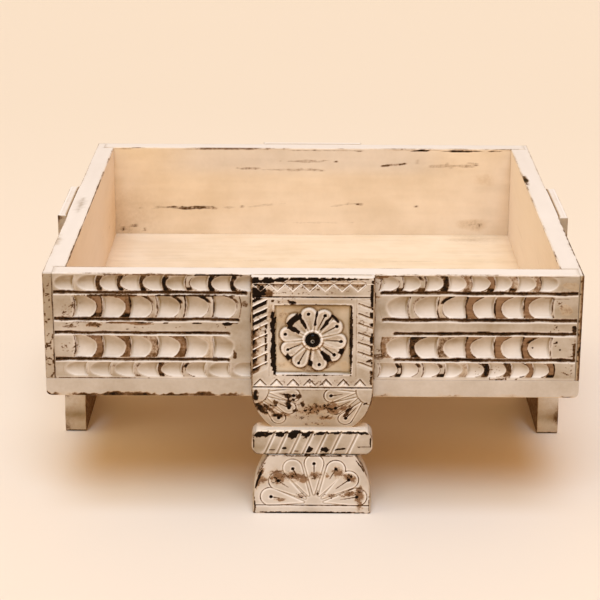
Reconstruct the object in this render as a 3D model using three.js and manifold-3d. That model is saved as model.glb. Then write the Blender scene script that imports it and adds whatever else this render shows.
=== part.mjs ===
// A low square tray table of carved and whitewashed wood, with one carved leg at the middle of each side.
// Millimetres, +Z up. The origin is on the floor under the middle of the table, and the front faces -Y.

import * as THREE from "three";
import { mergeVertices } from "three/addons/utils/BufferGeometryUtils.js";
import Module from "manifold-3d";

const wasm = await Module();
wasm.setup();

// Tray
const traySide = 400;
const wallThickness = 16;
const wallHeight = 83;
const plankThickness = 13.5;
const plankCount = 4;
const plankCornerRadius = 4;
const undersideHeight = 93;

// The side walls' ends are rebated for the front and back walls. These lips stay outside the rebates.
const leftLip = 7;
const rightLip = 3;

// Legs
const legWidth = 91.2;
const legProud = 7.5;
const shoulderDepth = 10;
const rimDrop = 1;
const footWidth = 90;
const footHeight = 48.3;
const footTopWidth = 66;
const footCornerRadius = 2;
const plinthHeight = 12;
const rollHeight = 19.7;
const rollCornerRadius = 7;
const rollEdgeRadius = 2.5;
const bellHeight = 33.5;
const bellBottomWidth = 60;
const bellSetback = 8;

// Joints: the glue line, the play round every pin, and the distance that a cut runs past a surface
const glueGap = 0.3;
const pinPlay = 0.3;
const overrun = 1;

// Dowels between each leg and its wall
const dowelDiameter = 6;
const dowelInset = 7.6;
const dowelInLeg = 4.5;
const dowelInWall = 11.5;

// Nails through the corners and up through the planks
const nailDiameter = 2;
const nailHeadDiameter = 3.6;
const nailHeadThickness = 0.9;
const nailPointLength = 3;
const nailSink = 0.4;
const cornerNailLength = 38;
const baseNailLength = 40;
const baseNailSpread = 220;

// Domed studs in the middle of each leg
const studDiameter = 11.5;
const studHeight = 3.8;
const studShankDiameter = 3;
const studLength = 16;
const studDimpleDiameter = 3;
const studDimpleDepth = 0.5;

// Carving on the walls
const grooveWidth = 2.2;
const grooveDepth = 2;
const plainStrip = 6.8;
const rowMargin = 0.9;
const largeRowMargin = 24;
const smallRowMargin = 9;
const largeScoopCount = 6;
const smallScoopCount = 8;
const largeScoopDepth = 3;
const smallScoopDepth = 2.2;
// Each groove's drop below the rim, as a share of the wall's height
const grooveDropShares = [0.181, 0.433, 0.563, 0.813];

// Carving on the legs
const lineWidth = 1.6;
const lineDepth = 1;
const upperLineDrop = 15;
const lowerLineRise = 1.5;
const recessWidth = 56.5;
const recessHeight = 53.5;
const recessRise = 12.5;
const recessDepth = 2.6;
const rosetteDiameter = 50.8;
const rosetteRise = 2.2;
const petalCount = 10;
const chipCount = 7;
const chipHeight = 5;
const chipDepth = 1.5;
const upperChipDrop = 4;
const lowerChipRise = 3.2;
const hatchCount = 9;
const hatchInset = 12.4;
const hatchSlope = 5;
const hatchWidth = 1.8;
const hatchDepth = 1.2;
const rollGrooveCount = 7;
const rollGroovePitch = 10.6;
const rollGrooveLean = 6;
const fanRayCount = 8;
const fanRise = 8;
const fanInnerRadius = 11;
const fanOuterRadius = 36;

// Facets
const pinSides = 8;
const nailSides = 6;
const studSides = 14;
const domeSteps = 4;
const arcSteps = 4;
const cornerSteps = 3;
const petalSteps = 4;
const weldDistance = 0.0001;

// Sizes that follow from the driving ones
const trayHalf = traySide / 2;
const rimHeight = undersideHeight + plankThickness + wallHeight;
const wallBottom = undersideHeight + plankThickness;
const plankWidth = traySide / plankCount;
const wallFace = -trayHalf;
const wallMiddle = wallFace + wallThickness / 2;
const legHalf = legWidth / 2;
const legFace = wallFace - legProud;
const legBack = wallFace + shoulderDepth;
const legDepth = legProud + shoulderDepth;
const rollBottom = footHeight;
const rollMiddle = rollBottom + rollHeight / 2;
const rollTop = rollBottom + rollHeight;
const blockBottom = rollTop + bellHeight;
const blockTop = rimHeight - rimDrop;
const recessBottom = blockBottom + recessRise;
const rosetteHeight = recessBottom + recessHeight / 2;
const recessFloor = legFace + recessDepth;
const rosetteFace = recessFloor - rosetteRise;
const grooveHeights = grooveDropShares.map((share) => rimHeight - share * wallHeight);
const carvingInner = legHalf + plainStrip;
const dowelPlace = legHalf - dowelInset;
const dowelHeight = wallBottom + wallHeight / 2;

// Materials
const paintedWall = { color: 0xd8cbbb, roughness: 0.82, metalness: 0 };
const paintedLeg = { color: 0xdccfc0, roughness: 0.8, metalness: 0 };
const paintedPlank = { color: 0xe8d6b8, roughness: 0.72, metalness: 0 };
const bareWood = { color: 0xb98d5e, roughness: 0.85, metalness: 0 };
const steel = { color: 0x85827c, roughness: 0.5, metalness: 0.9 };
const blackGlaze = { color: 0x120e0c, roughness: 0.18, metalness: 0.1 };

// Solids and meshes

function signedVolume(places, triangles) {
  const corner = [new THREE.Vector3(), new THREE.Vector3(), new THREE.Vector3()];
  let volume = 0;
  for (let i = 0; i < triangles.length; i += 3) {
    corner.forEach((point, k) => point.fromArray(places, 3 * triangles[i + k]));
    volume += corner[0].dot(corner[1].cross(corner[2])) / 6;
  }
  return volume;
}

// A closed geometry as a solid, with shared corners merged and its faces turned outwards
function solid(geometry) {
  const bare = geometry.clone();
  bare.deleteAttribute("normal");
  bare.deleteAttribute("uv");
  const merged = mergeVertices(bare, weldDistance);
  const places = merged.getAttribute("position").array;
  const index = merged.getIndex().array;
  const triangles = [];
  for (let i = 0; i < index.length; i += 3) {
    const [a, b, c] = index.slice(i, i + 3);
    if (a !== b && b !== c && c !== a) triangles.push(a, b, c);
  }
  if (signedVolume(places, triangles) < 0) triangles.reverse();
  const mesh = new wasm.Mesh({
    numProp: 3,
    vertProperties: Float32Array.from(places),
    triVerts: Uint32Array.from(triangles),
  });
  return new wasm.Manifold(mesh);
}

function named(name, body, look) {
  const { vertProperties, triVerts } = body.getMesh();
  const geometry = new THREE.BufferGeometry();
  geometry.setAttribute("position", new THREE.BufferAttribute(vertProperties, 3));
  geometry.setIndex(new THREE.BufferAttribute(triVerts, 1));
  geometry.computeVertexNormals();
  const mesh = new THREE.Mesh(geometry, new THREE.MeshStandardMaterial({ ...look, flatShading: true }));
  mesh.name = name;
  return mesh;
}

function without(body, cutters) {
  return cutters.reduce((rest, cutter) => rest.subtract(cutter), body);
}

function block([left, right], [front, back], [bottom, top]) {
  const geometry = new THREE.BoxGeometry(right - left, back - front, top - bottom);
  geometry.translate((left + right) / 2, (front + back) / 2, (bottom + top) / 2);
  return solid(geometry);
}

// An outline drawn in X and Z, carried along Y
function frontOutline(points, front, back) {
  const geometry = new THREE.ExtrudeGeometry(new THREE.Shape(points), {
    depth: back - front,
    bevelEnabled: false,
  });
  const right = new THREE.Vector3(1, 0, 0);
  const up = new THREE.Vector3(0, 0, 1);
  const forward = new THREE.Vector3(0, -1, 0);
  geometry.applyMatrix4(new THREE.Matrix4().makeBasis(right, up, forward));
  geometry.translate(0, back, 0);
  return solid(geometry);
}

// An outline drawn in Y and Z, carried along X by half its width each way
function sideOutline(points, width) {
  const geometry = new THREE.ExtrudeGeometry(new THREE.Shape(points), {
    depth: width,
    bevelEnabled: false,
  });
  const inward = new THREE.Vector3(0, 1, 0);
  const up = new THREE.Vector3(0, 0, 1);
  const right = new THREE.Vector3(1, 0, 0);
  geometry.applyMatrix4(new THREE.Matrix4().makeBasis(inward, up, right));
  geometry.translate(-width / 2, 0, 0);
  return solid(geometry);
}

// A solid of revolution about Y, from a profile of [radius, y] pairs that starts and ends on the axis
function turned(profile, sides) {
  const points = profile.map(([radius, y]) => new THREE.Vector2(radius, y));
  return new THREE.LatheGeometry(points, sides);
}

// A round pin or bore along Y
function pin(radius, from, to, sides) {
  return turned([[0, from], [radius, from], [radius, to], [0, to]], sides);
}

// A pin's geometry turned to lie along X, or to stand along Z
const alongX = (geometry) => geometry.rotateZ(-Math.PI / 2);
const alongZ = (geometry) => geometry.rotateX(Math.PI / 2);

// A closed solid through rings of equally many points, from a flat first ring to a flat last ring or a tip
function loft(rings, tip) {
  const count = rings[0].length;
  const points = rings.flat();
  const faces = [];
  for (let r = 0; r + 1 < rings.length; r++) {
    for (let i = 0; i < count; i++) {
      const next = (i + 1) % count;
      const [a, b, c, d] = [r * count + i, r * count + next, (r + 1) * count + next, (r + 1) * count + i];
      faces.push(a, b, c, a, c, d);
    }
  }
  const last = (rings.length - 1) * count;
  for (let i = 1; i + 1 < count; i++) {
    faces.push(0, i + 1, i);
    if (!tip) faces.push(last, last + i, last + i + 1);
  }
  if (tip) {
    points.push(tip);
    for (let i = 0; i < count; i++) faces.push(last + i, last + ((i + 1) % count), points.length - 1);
  }
  const geometry = new THREE.BufferGeometry().setFromPoints(points);
  geometry.setIndex(faces);
  return solid(geometry);
}

// Outlines

// Points of an arc that leaves (wide, level) upright and reaches (narrow, end)
function bulge(wide, level, narrow, end) {
  const inward = wide - narrow;
  const rise = end - level;
  const radius = (inward ** 2 + rise ** 2) / (2 * inward);
  const sweep = Math.asin(rise / radius);
  return Array.from({ length: arcSteps }, (_, i) => {
    const angle = (sweep * (i + 1)) / arcSteps;
    return new THREE.Vector2(wide - radius * (1 - Math.cos(angle)), level + radius * Math.sin(angle));
  });
}

// Points of a quarter round about a centre, from one angle to another
function quarter(x, y, radius, from, to) {
  return Array.from({ length: cornerSteps + 1 }, (_, i) => {
    const angle = from + ((to - from) * i) / cornerSteps;
    return new THREE.Vector2(x + radius * Math.cos(angle), y + radius * Math.sin(angle));
  });
}

// A right half of an outline, with its mirror image added
function mirrored(half) {
  const other = half.map((point) => new THREE.Vector2(-point.x, point.y)).reverse();
  return [...half, ...other];
}

// Cutters for the carving. Each lies on an upright face that looks along -Y, and reaches inwards from it.

// A V groove from one point [x, z] of the face to another
function groove([x0, z0], [x1, z1], face, width, depth) {
  const across = new THREE.Vector3(z0 - z1, 0, x1 - x0).normalize();
  const halfWidth = (width / 2) * (1 + overrun / depth);
  const ring = (x, z) => {
    const outer = new THREE.Vector3(x, face - overrun, z);
    return [
      outer.clone().addScaledVector(across, halfWidth),
      new THREE.Vector3(x, face + depth, z),
      outer.clone().addScaledVector(across, -halfWidth),
    ];
  };
  return loft([ring(x0, z0), ring(x1, z1)]);
}

// A three-sided chip with its opening on the face, drawn as a base line and a point opposite
function chip(x, base, point, width, face) {
  const corners = [[x - width / 2, base], [x + width / 2, base], [x, point]];
  const middle = (2 * base + point) / 3;
  const grow = 1 + overrun / chipDepth;
  const ring = corners.map(
    ([cx, cz]) => new THREE.Vector3(x + (cx - x) * grow, face - overrun, middle + (cz - middle) * grow),
  );
  return loft([ring], new THREE.Vector3(x, face + chipDepth, middle));
}

// Stations along a scoop: shares of its length, height and depth. It starts at the upright stop cut.
const largeStationShares = [
  { along: 0, high: 1, deep: 1 },
  { along: 0.52, high: 0.98, deep: 0.8 },
  { along: 0.84, high: 0.72, deep: 0.55 },
];
const smallStationShares = [
  { along: 0, high: 1, deep: 1 },
  { along: 0.68, high: 0.86, deep: 0.65 },
];
const floorShare = 0.5;

// A gouge scoop from its stop cut at x, running to x + length, which is negative to run the other way
function scoop(x, length, middle, height, depth, stationShares) {
  const face = wallFace;
  const ring = ({ along, high, deep }) => {
    const halfHeight = (high * height) / 2;
    const floorHalf = floorShare * halfHeight;
    const mouthHalf = halfHeight + ((halfHeight - floorHalf) * overrun) / (deep * depth);
    const place = (y, z) => new THREE.Vector3(x + along * length, face + y, middle + z);
    return [
      place(-overrun, mouthHalf),
      place(deep * depth, floorHalf),
      place(deep * depth, -floorHalf),
      place(-overrun, -mouthHalf),
    ];
  };
  const tip = new THREE.Vector3(x + length + (Math.sign(length) * overrun) / 2, face - overrun, middle);
  return loft(stationShares.map(ring), tip);
}

// Walls

// The four rows of scoops, each between two grooves or a groove and the wall's edge
const rowEdges = [rimHeight + grooveWidth / 2, ...grooveHeights, wallBottom - grooveWidth / 2];
const rows = [
  { top: rowEdges[0], bottom: rowEdges[1], large: false },
  { top: rowEdges[1], bottom: rowEdges[2], large: true },
  { top: rowEdges[3], bottom: rowEdges[4], large: true },
  { top: rowEdges[4], bottom: rowEdges[5], large: false },
];
const scoopReachShare = { large: 0.8, small: 0.92 };

function rowOfScoops({ top, bottom, large }, side) {
  const height = top - bottom - grooveWidth - 2 * rowMargin;
  const middle = (top + bottom) / 2;
  const outer = trayHalf - (large ? largeRowMargin : smallRowMargin);
  const count = large ? largeScoopCount : smallScoopCount;
  const pitch = (outer - carvingInner) / count;
  return Array.from({ length: count }, (_, i) => {
    if (large) {
      const stop = side * (outer - i * pitch);
      const length = -side * scoopReachShare.large * pitch;
      return scoop(stop, length, middle, height, largeScoopDepth, largeStationShares);
    }
    const stop = side * (carvingInner + i * pitch);
    const length = side * scoopReachShare.small * pitch;
    return scoop(stop, length, middle, height, smallScoopDepth, smallStationShares);
  });
}

function wallCarving() {
  const cutters = [];
  for (const side of [-1, 1]) {
    for (const height of grooveHeights) {
      const outer = [side * (trayHalf + overrun), height];
      const inner = [side * carvingInner, height];
      cutters.push(groove(outer, inner, wallFace, grooveWidth, grooveDepth));
    }
    for (const row of rows) cutters.push(...rowOfScoops(row, side));
  }
  return cutters;
}

// Bores in every wall for its leg's dowels, its stud and the nails from below
const studShankEnd = rosetteFace - glueGap + studLength;
const baseNailEnd = undersideHeight + nailSink + baseNailLength;

function bore(diameter, from, to, sides) {
  return pin(diameter / 2 + pinPlay, from, to, sides);
}

function wallBores(baseNailPlaces) {
  const cutters = [];
  const outside = wallFace - overrun;
  for (const side of [-1, 1]) {
    const hole = bore(dowelDiameter, outside, wallFace + dowelInWall + pinPlay, pinSides);
    cutters.push(solid(hole.translate(side * dowelPlace, 0, dowelHeight)));
  }
  const studHole = bore(studShankDiameter, outside, studShankEnd + pinPlay, pinSides);
  cutters.push(solid(studHole.translate(0, 0, rosetteHeight)));
  for (const x of baseNailPlaces) {
    const hole = alongZ(bore(nailDiameter, wallBottom - overrun, baseNailEnd + pinPlay, nailSides));
    cutters.push(solid(hole.translate(x, wallMiddle, 0)));
  }
  return cutters;
}

// The nails that hold each corner stand at the middle of the two rows of large scoops
const cornerNailHeights = {
  upper: (grooveHeights[0] + grooveHeights[1]) / 2,
  lower: (grooveHeights[2] + grooveHeights[3]) / 2,
};
const cornerNailHead = wallFace + nailSink;
const cornerNailReach = trayHalf - nailSink - cornerNailLength;
const nailPlace = trayHalf - wallThickness / 2;

// A front or back wall, which fits between the lips at its two ends
function endWall(name, leftEndLip, rightEndLip) {
  const left = -trayHalf + leftEndLip + glueGap;
  const right = trayHalf - rightEndLip - glueGap;
  const blank = block([left, right], [wallFace, wallFace + wallThickness], [wallBottom, rimHeight]);
  const cutters = [...wallCarving(), ...wallBores([-baseNailSpread / 2, baseNailSpread / 2])];
  for (const side of [-1, 1]) {
    for (const height of Object.values(cornerNailHeights)) {
      const hole = alongX(bore(nailDiameter, cornerNailReach - pinPlay, trayHalf + overrun, nailSides));
      const turn = side < 0 ? Math.PI : 0;
      cutters.push(solid(hole.rotateZ(turn).translate(0, wallMiddle, height)));
    }
  }
  return named(name, without(blank, cutters), paintedWall);
}

// A side wall, which runs the full depth and has a rebate at each end
function sideWall(name, lip) {
  const inner = wallFace + wallThickness;
  const blank = block([-trayHalf, trayHalf], [wallFace, inner], [wallBottom, rimHeight]);
  const plankNailPlaces = plankMiddles();
  const cutters = [...wallCarving(), ...wallBores(plankNailPlaces)];
  const heights = [wallBottom - overrun, rimHeight + overrun];
  const shoulder = trayHalf - wallThickness - glueGap;
  for (const side of [-1, 1]) {
    const reach = [side * shoulder, side * (trayHalf + overrun)].sort((a, b) => a - b);
    cutters.push(block(reach, [wallFace + lip, inner + overrun], heights));
    for (const height of Object.values(cornerNailHeights)) {
      const hole = bore(nailDiameter, wallFace - overrun, inner + overrun, nailSides);
      cutters.push(solid(hole.translate(side * nailPlace, 0, height)));
      const pocketEnd = cornerNailHead + nailHeadThickness + pinPlay;
      const pocket = bore(nailHeadDiameter, wallFace - overrun, pocketEnd, nailSides);
      cutters.push(solid(pocket.translate(side * nailPlace, 0, height)));
    }
  }
  return named(name, without(blank, cutters), paintedWall);
}

// Planks

function plankMiddles() {
  return Array.from({ length: plankCount }, (_, i) => -trayHalf + (i + 0.5) * plankWidth);
}

// The nails from below: one in each end of every plank, and two under each of the front and back walls
const baseNails = [
  ...plankMiddles().flatMap((y, i) => [
    { name: `base_nail_left_${i + 1}`, x: -nailPlace, y },
    { name: `base_nail_right_${i + 1}`, x: nailPlace, y },
  ]),
  { name: "base_nail_front_left", x: -baseNailSpread / 2, y: -nailPlace },
  { name: "base_nail_front_right", x: baseNailSpread / 2, y: -nailPlace },
  { name: "base_nail_back_left", x: -baseNailSpread / 2, y: nailPlace },
  { name: "base_nail_back_right", x: baseNailSpread / 2, y: nailPlace },
];

function plank(index) {
  const front = -trayHalf + index * plankWidth;
  const back = front + plankWidth;
  const corner = quarter(
    trayHalf - plankCornerRadius,
    undersideHeight + plankCornerRadius,
    plankCornerRadius,
    -Math.PI / 2,
    0,
  );
  const outline = mirrored([...corner, new THREE.Vector2(trayHalf, wallBottom)]);
  const cutters = [];
  for (const { x, y } of baseNails.filter((nail) => nail.y > front && nail.y < back)) {
    const hole = alongZ(bore(nailDiameter, undersideHeight - overrun, wallBottom + overrun, nailSides));
    cutters.push(solid(hole.translate(x, y, 0)));
    const pocketEnd = undersideHeight + nailSink + nailHeadThickness + pinPlay;
    const pocket = alongZ(bore(nailHeadDiameter, undersideHeight - overrun, pocketEnd, nailSides));
    cutters.push(solid(pocket.translate(x, y, 0)));
  }
  const body = without(frontOutline(outline, front, back), cutters);
  return named(`base_plank_${index + 1}`, body, paintedPlank);
}

// Legs

function footBlank() {
  const half = footWidth / 2;
  const corner = quarter(half - footCornerRadius, footCornerRadius, footCornerRadius, -Math.PI / 2, 0);
  const outline = [
    ...corner,
    new THREE.Vector2(half, plinthHeight),
    ...bulge(half, plinthHeight, footTopWidth / 2, rollBottom),
    new THREE.Vector2(footTopWidth / 2, rollMiddle),
  ];
  return frontOutline(mirrored(outline), legFace, legBack);
}

function rollBlank() {
  const inset = legHalf - rollCornerRadius;
  const front = [
    ...quarter(inset, rollBottom + rollCornerRadius, rollCornerRadius, -Math.PI / 2, 0),
    ...quarter(inset, rollTop - rollCornerRadius, rollCornerRadius, 0, Math.PI / 2),
  ];
  const edge = legFace + rollEdgeRadius;
  const side = [
    new THREE.Vector2(legBack, rollBottom),
    new THREE.Vector2(legBack, rollTop),
    ...quarter(edge, rollTop - rollEdgeRadius, rollEdgeRadius, Math.PI / 2, Math.PI),
    ...quarter(edge, rollBottom + rollEdgeRadius, rollEdgeRadius, Math.PI, 1.5 * Math.PI),
  ];
  return frontOutline(mirrored(front), legFace, legBack).intersect(sideOutline(side, legWidth));
}

// The bell and the block above it, with the bell's front drawn back towards its bottom
function bellAndBlock() {
  const neckHalf = bellBottomWidth / 2;
  const front = [
    new THREE.Vector2(neckHalf, rollMiddle),
    ...bulge(legHalf, blockBottom, neckHalf, rollTop).reverse(),
    new THREE.Vector2(legHalf, blockBottom),
    new THREE.Vector2(legHalf, blockTop),
  ];
  const neckDepth = legDepth - bellSetback;
  const side = [
    new THREE.Vector2(0, rollMiddle),
    new THREE.Vector2(neckDepth, rollMiddle),
    ...bulge(legDepth, blockBottom, neckDepth, rollTop).reverse(),
    new THREE.Vector2(legDepth, blockBottom),
    new THREE.Vector2(legDepth, blockTop),
    new THREE.Vector2(0, blockTop),
  ].map((point) => new THREE.Vector2(legBack - point.x, point.y));
  return frontOutline(mirrored(front), legFace, legBack).intersect(sideOutline(side, legWidth));
}

// Ten rounded petals round the stud, on the floor of the recess
const petalNotchShare = 0.16;

function rosette() {
  const radius = rosetteDiameter / 2;
  const steps = petalCount * petalSteps;
  const outline = Array.from({ length: steps }, (_, i) => {
    const angle = (2 * Math.PI * i) / steps;
    const lobe = Math.abs(Math.sin((petalCount * angle) / 2));
    const reach = radius * (1 - petalNotchShare * (1 - lobe));
    return new THREE.Vector2(reach * Math.cos(angle), rosetteHeight + reach * Math.sin(angle));
  });
  return frontOutline(outline, rosetteFace, recessFloor + overrun);
}

function petalGrooves() {
  const inner = studDiameter / 2;
  const outer = rosetteDiameter / 2 + overrun;
  return Array.from({ length: petalCount }, (_, i) => {
    const angle = (2 * Math.PI * i) / petalCount;
    const point = (reach) => [reach * Math.cos(angle), rosetteHeight + reach * Math.sin(angle)];
    return groove(point(inner), point(outer), rosetteFace, lineWidth, lineDepth);
  });
}

function chipRow(base, point) {
  const pitch = (legWidth - 2 * lineWidth) / chipCount;
  return Array.from({ length: chipCount }, (_, i) => {
    const x = (i - (chipCount - 1) / 2) * pitch;
    return chip(x, base, point, pitch - lineWidth, legFace);
  });
}

function hatching() {
  const bottom = blockBottom + lowerLineRise + lowerChipRise;
  const top = blockTop - upperLineDrop - hatchSlope;
  const pitch = (top - bottom) / (hatchCount - 1);
  return [-1, 1].flatMap((side) =>
    Array.from({ length: hatchCount }, (_, i) => {
      const height = bottom + i * pitch;
      const inner = [side * (legHalf - hatchInset), height + hatchSlope];
      const outer = [side * (legHalf + overrun), height];
      return groove(inner, outer, legFace, hatchWidth, hatchDepth);
    }),
  );
}

function blockCarving() {
  const lines = [blockTop - upperLineDrop, blockBottom + lowerLineRise].map((height) =>
    groove([-legHalf - overrun, height], [legHalf + overrun, height], legFace, lineWidth, lineDepth),
  );
  const upperBase = blockTop - upperChipDrop;
  const lowerBase = blockBottom + lowerChipRise;
  return [
    ...lines,
    ...chipRow(upperBase, upperBase - chipHeight),
    ...chipRow(lowerBase, lowerBase + chipHeight),
    ...hatching(),
  ];
}

function rollCarving() {
  return Array.from({ length: rollGrooveCount }, (_, i) => {
    const x = (i - (rollGrooveCount - 1) / 2) * rollGroovePitch;
    const low = [x - rollGrooveLean, rollBottom - overrun];
    const high = [x + rollGrooveLean, rollTop + overrun];
    return groove(low, high, legFace, lineWidth, lineDepth);
  });
}

// The rays of the half fan on the foot, from one side round to the other
const fanStartShare = 0.04;

function fanCarving() {
  return Array.from({ length: fanRayCount }, (_, i) => {
    const share = fanStartShare + ((1 - 2 * fanStartShare) * i) / (fanRayCount - 1);
    const angle = Math.PI * share;
    const point = (reach) => [reach * Math.cos(angle), fanRise + reach * Math.sin(angle)];
    return groove(point(fanInnerRadius), point(fanOuterRadius), legFace, lineWidth, lineDepth);
  });
}

function legBores() {
  const inside = wallFace + overrun;
  const cutters = [-1, 1].map((side) => {
    const deep = wallFace - glueGap - dowelInLeg - pinPlay;
    const hole = bore(dowelDiameter, deep, inside, pinSides);
    return solid(hole.translate(side * dowelPlace, 0, dowelHeight));
  });
  const studHole = bore(studShankDiameter, legFace - overrun, inside, pinSides);
  return [...cutters, solid(studHole.translate(0, 0, rosetteHeight))];
}

// One board, halved over the tray's wall, with its shoulder under the planks
function leg(name) {
  const halving = block(
    [-legWidth, legWidth],
    [wallFace - glueGap, legBack + overrun],
    [undersideHeight, blockTop + overrun],
  );
  const recess = block(
    [-recessWidth / 2, recessWidth / 2],
    [legFace - overrun, recessFloor],
    [recessBottom, recessBottom + recessHeight],
  );
  const blank = footBlank().add(rollBlank()).add(bellAndBlock()).subtract(halving).subtract(recess);
  const cutters = [...petalGrooves(), ...blockCarving(), ...rollCarving(), ...fanCarving(), ...legBores()];
  return named(name, without(blank.add(rosette()), cutters), paintedLeg);
}

// Fasteners

function dowel(name, side) {
  const from = wallFace - glueGap - dowelInLeg;
  const mesh = named(name, solid(pin(dowelDiameter / 2, from, wallFace + dowelInWall, pinSides)), bareWood);
  mesh.position.set(side * dowelPlace, 0, dowelHeight);
  return mesh;
}

// A nail along Y with its head at zero
function nail(name, length) {
  const shank = nailDiameter / 2;
  const head = nailHeadDiameter / 2;
  const profile = [
    [0, 0],
    [head, 0],
    [head, nailHeadThickness],
    [shank, nailHeadThickness],
    [shank, length - nailPointLength],
    [0, length],
  ];
  return named(name, solid(turned(profile, nailSides)), steel);
}

function baseNail({ name, x, y }) {
  const mesh = nail(name, baseNailLength);
  mesh.rotation.x = Math.PI / 2;
  mesh.position.set(x, y, undersideHeight + nailSink);
  return mesh;
}

function cornerNail(name, side, height) {
  const mesh = nail(name, cornerNailLength);
  mesh.position.set(side * nailPlace, cornerNailHead, height);
  return mesh;
}

// A stud along Y with its seat at zero, a domed head outside and a small dimple at the top of the dome
function stud(name) {
  const radius = studDiameter / 2;
  const dimple = studDimpleDiameter / 2;
  const start = Math.asin(dimple / radius);
  const dome = Array.from({ length: domeSteps + 1 }, (_, i) => {
    const angle = start + ((Math.PI / 2 - start) * i) / domeSteps;
    return [radius * Math.sin(angle), -studHeight * Math.cos(angle)];
  });
  const shank = studShankDiameter / 2;
  const profile = [[0, dome[0][1] + studDimpleDepth], ...dome, [shank, 0], [shank, studLength], [0, studLength]];
  const mesh = named(name, solid(turned(profile, studSides)), blackGlaze);
  mesh.position.set(0, rosetteFace - glueGap, rosetteHeight);
  return mesh;
}

// Assembly

// One side of the table, built as the front side is and then turned about the middle
function side(name, quarterTurns, wall) {
  const group = new THREE.Group();
  group.rotation.z = (quarterTurns * Math.PI) / 2;
  group.add(wall, leg(`${name}_leg`), stud(`${name}_stud`));
  group.add(dowel(`${name}_dowel_1`, -1), dowel(`${name}_dowel_2`, 1));
  return group;
}

// A left or right side, with the corner nails that enter its wall. ends names the two ends, left one first.
function nailedSide(name, quarterTurns, lip, ends) {
  const group = side(name, quarterTurns, sideWall(`${name}_wall`, lip));
  for (const [level, height] of Object.entries(cornerNailHeights)) {
    group.add(cornerNail(`corner_nail_${name}_${ends[0]}_${level}`, -1, height));
    group.add(cornerNail(`corner_nail_${name}_${ends[1]}_${level}`, 1, height));
  }
  return group;
}

const table = new THREE.Group();
for (let index = 0; index < plankCount; index++) table.add(plank(index));
table.add(...baseNails.map(baseNail));
table.add(side("front", 0, endWall("front_wall", leftLip, rightLip)));
table.add(side("back", 2, endWall("back_wall", rightLip, leftLip)));
table.add(nailedSide("right", 1, rightLip, ["front", "back"]));
table.add(nailedSide("left", -1, leftLip, ["back", "front"]));

export default table;
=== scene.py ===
"""The looks of a low square tray table of carved and whitewashed wood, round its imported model.

Lengths in this script are millimetres until a mesh is made, and the front faces -Y. Each side of the
table is drawn as the front one, looking along +Y with x to the right, and is then turned into place.
"""

import math

import bpy
import numpy as np
from mathutils import Matrix, Vector
from mathutils.geometry import delaunay_2d_cdt


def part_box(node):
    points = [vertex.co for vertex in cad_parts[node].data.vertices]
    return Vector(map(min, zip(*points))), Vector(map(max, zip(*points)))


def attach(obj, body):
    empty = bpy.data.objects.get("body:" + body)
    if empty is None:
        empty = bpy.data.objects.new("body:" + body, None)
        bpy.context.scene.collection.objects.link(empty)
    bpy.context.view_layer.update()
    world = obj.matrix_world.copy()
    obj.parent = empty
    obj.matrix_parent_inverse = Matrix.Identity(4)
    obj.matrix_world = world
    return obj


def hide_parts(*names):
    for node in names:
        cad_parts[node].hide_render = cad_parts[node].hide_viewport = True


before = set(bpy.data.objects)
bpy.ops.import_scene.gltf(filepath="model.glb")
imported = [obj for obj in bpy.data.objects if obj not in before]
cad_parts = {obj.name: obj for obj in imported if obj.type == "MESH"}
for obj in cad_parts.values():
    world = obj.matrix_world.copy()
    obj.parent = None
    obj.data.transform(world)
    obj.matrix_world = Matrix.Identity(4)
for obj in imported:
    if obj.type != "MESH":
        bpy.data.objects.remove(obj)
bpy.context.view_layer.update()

MM = 0.001

# Sides of the table: quarter turns from the front one, and the seed of its wear
TURNS = {"front": 0, "right": 1, "back": 2, "left": -1}
SEEDS = {"front": 11000, "right": 12000, "back": 13000, "left": 14000}


def extent(node):
    """A node's lowest and highest corner in millimetres."""
    low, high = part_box(node)
    return np.array(low) / MM, np.array(high) / MM


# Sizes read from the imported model
WALL_LOW, WALL_HIGH = extent("front_wall")
LEG_LOW, LEG_HIGH = extent("front_leg")
STUD_LOW, STUD_HIGH = extent("front_stud")
HALF = extent("right_wall")[1][0]
INNER = HALF - (WALL_HIGH[1] - WALL_LOW[1])
RIM = WALL_HIGH[2]
WALL_FOOT = WALL_LOW[2]
UNDERSIDE = extent("base_plank_1")[0][2]
LEG_HALF = LEG_HIGH[0]
LEG_FACE, LEG_BACK = LEG_LOW[1], LEG_HIGH[1]
LEG_TOP = LEG_HIGH[2]


# Numbers

def smooth_step(value, low, high):
    """0 below low and 1 above high, or the reverse where low is the greater."""
    share = np.clip((value - low) / (high - low), 0, 1)
    return share * share * (3 - 2 * share)


def bell_curve(value, middle, width):
    return np.exp(-(((value - middle) / width) ** 2))


LATTICE = 64


def uneven(x, z, cell_x, cell_z, seed):
    """Smooth seeded unevenness from -1 to 1, with one random number for each cell."""
    lattice = np.random.default_rng(seed).uniform(-1, 1, (LATTICE, LATTICE))
    u, v = np.broadcast_arrays(x / cell_x, z / cell_z)
    i, j = np.floor(u).astype(int), np.floor(v).astype(int)
    s, t = smooth_step(u - i, 0, 1), smooth_step(v - j, 0, 1)

    def at(di, dj):
        return lattice[(i + di) % LATTICE, (j + dj) % LATTICE]

    low = at(0, 0) * (1 - s) + at(1, 0) * s
    high = at(0, 1) * (1 - s) + at(1, 1) * s
    return low * (1 - t) + high * t


# How much the coarse and the fine part of patchy wear count, and how much finer the fine one is
COARSE_SHARE, FINE_SHARE, FINER = 0.45, 0.25, 3


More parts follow.
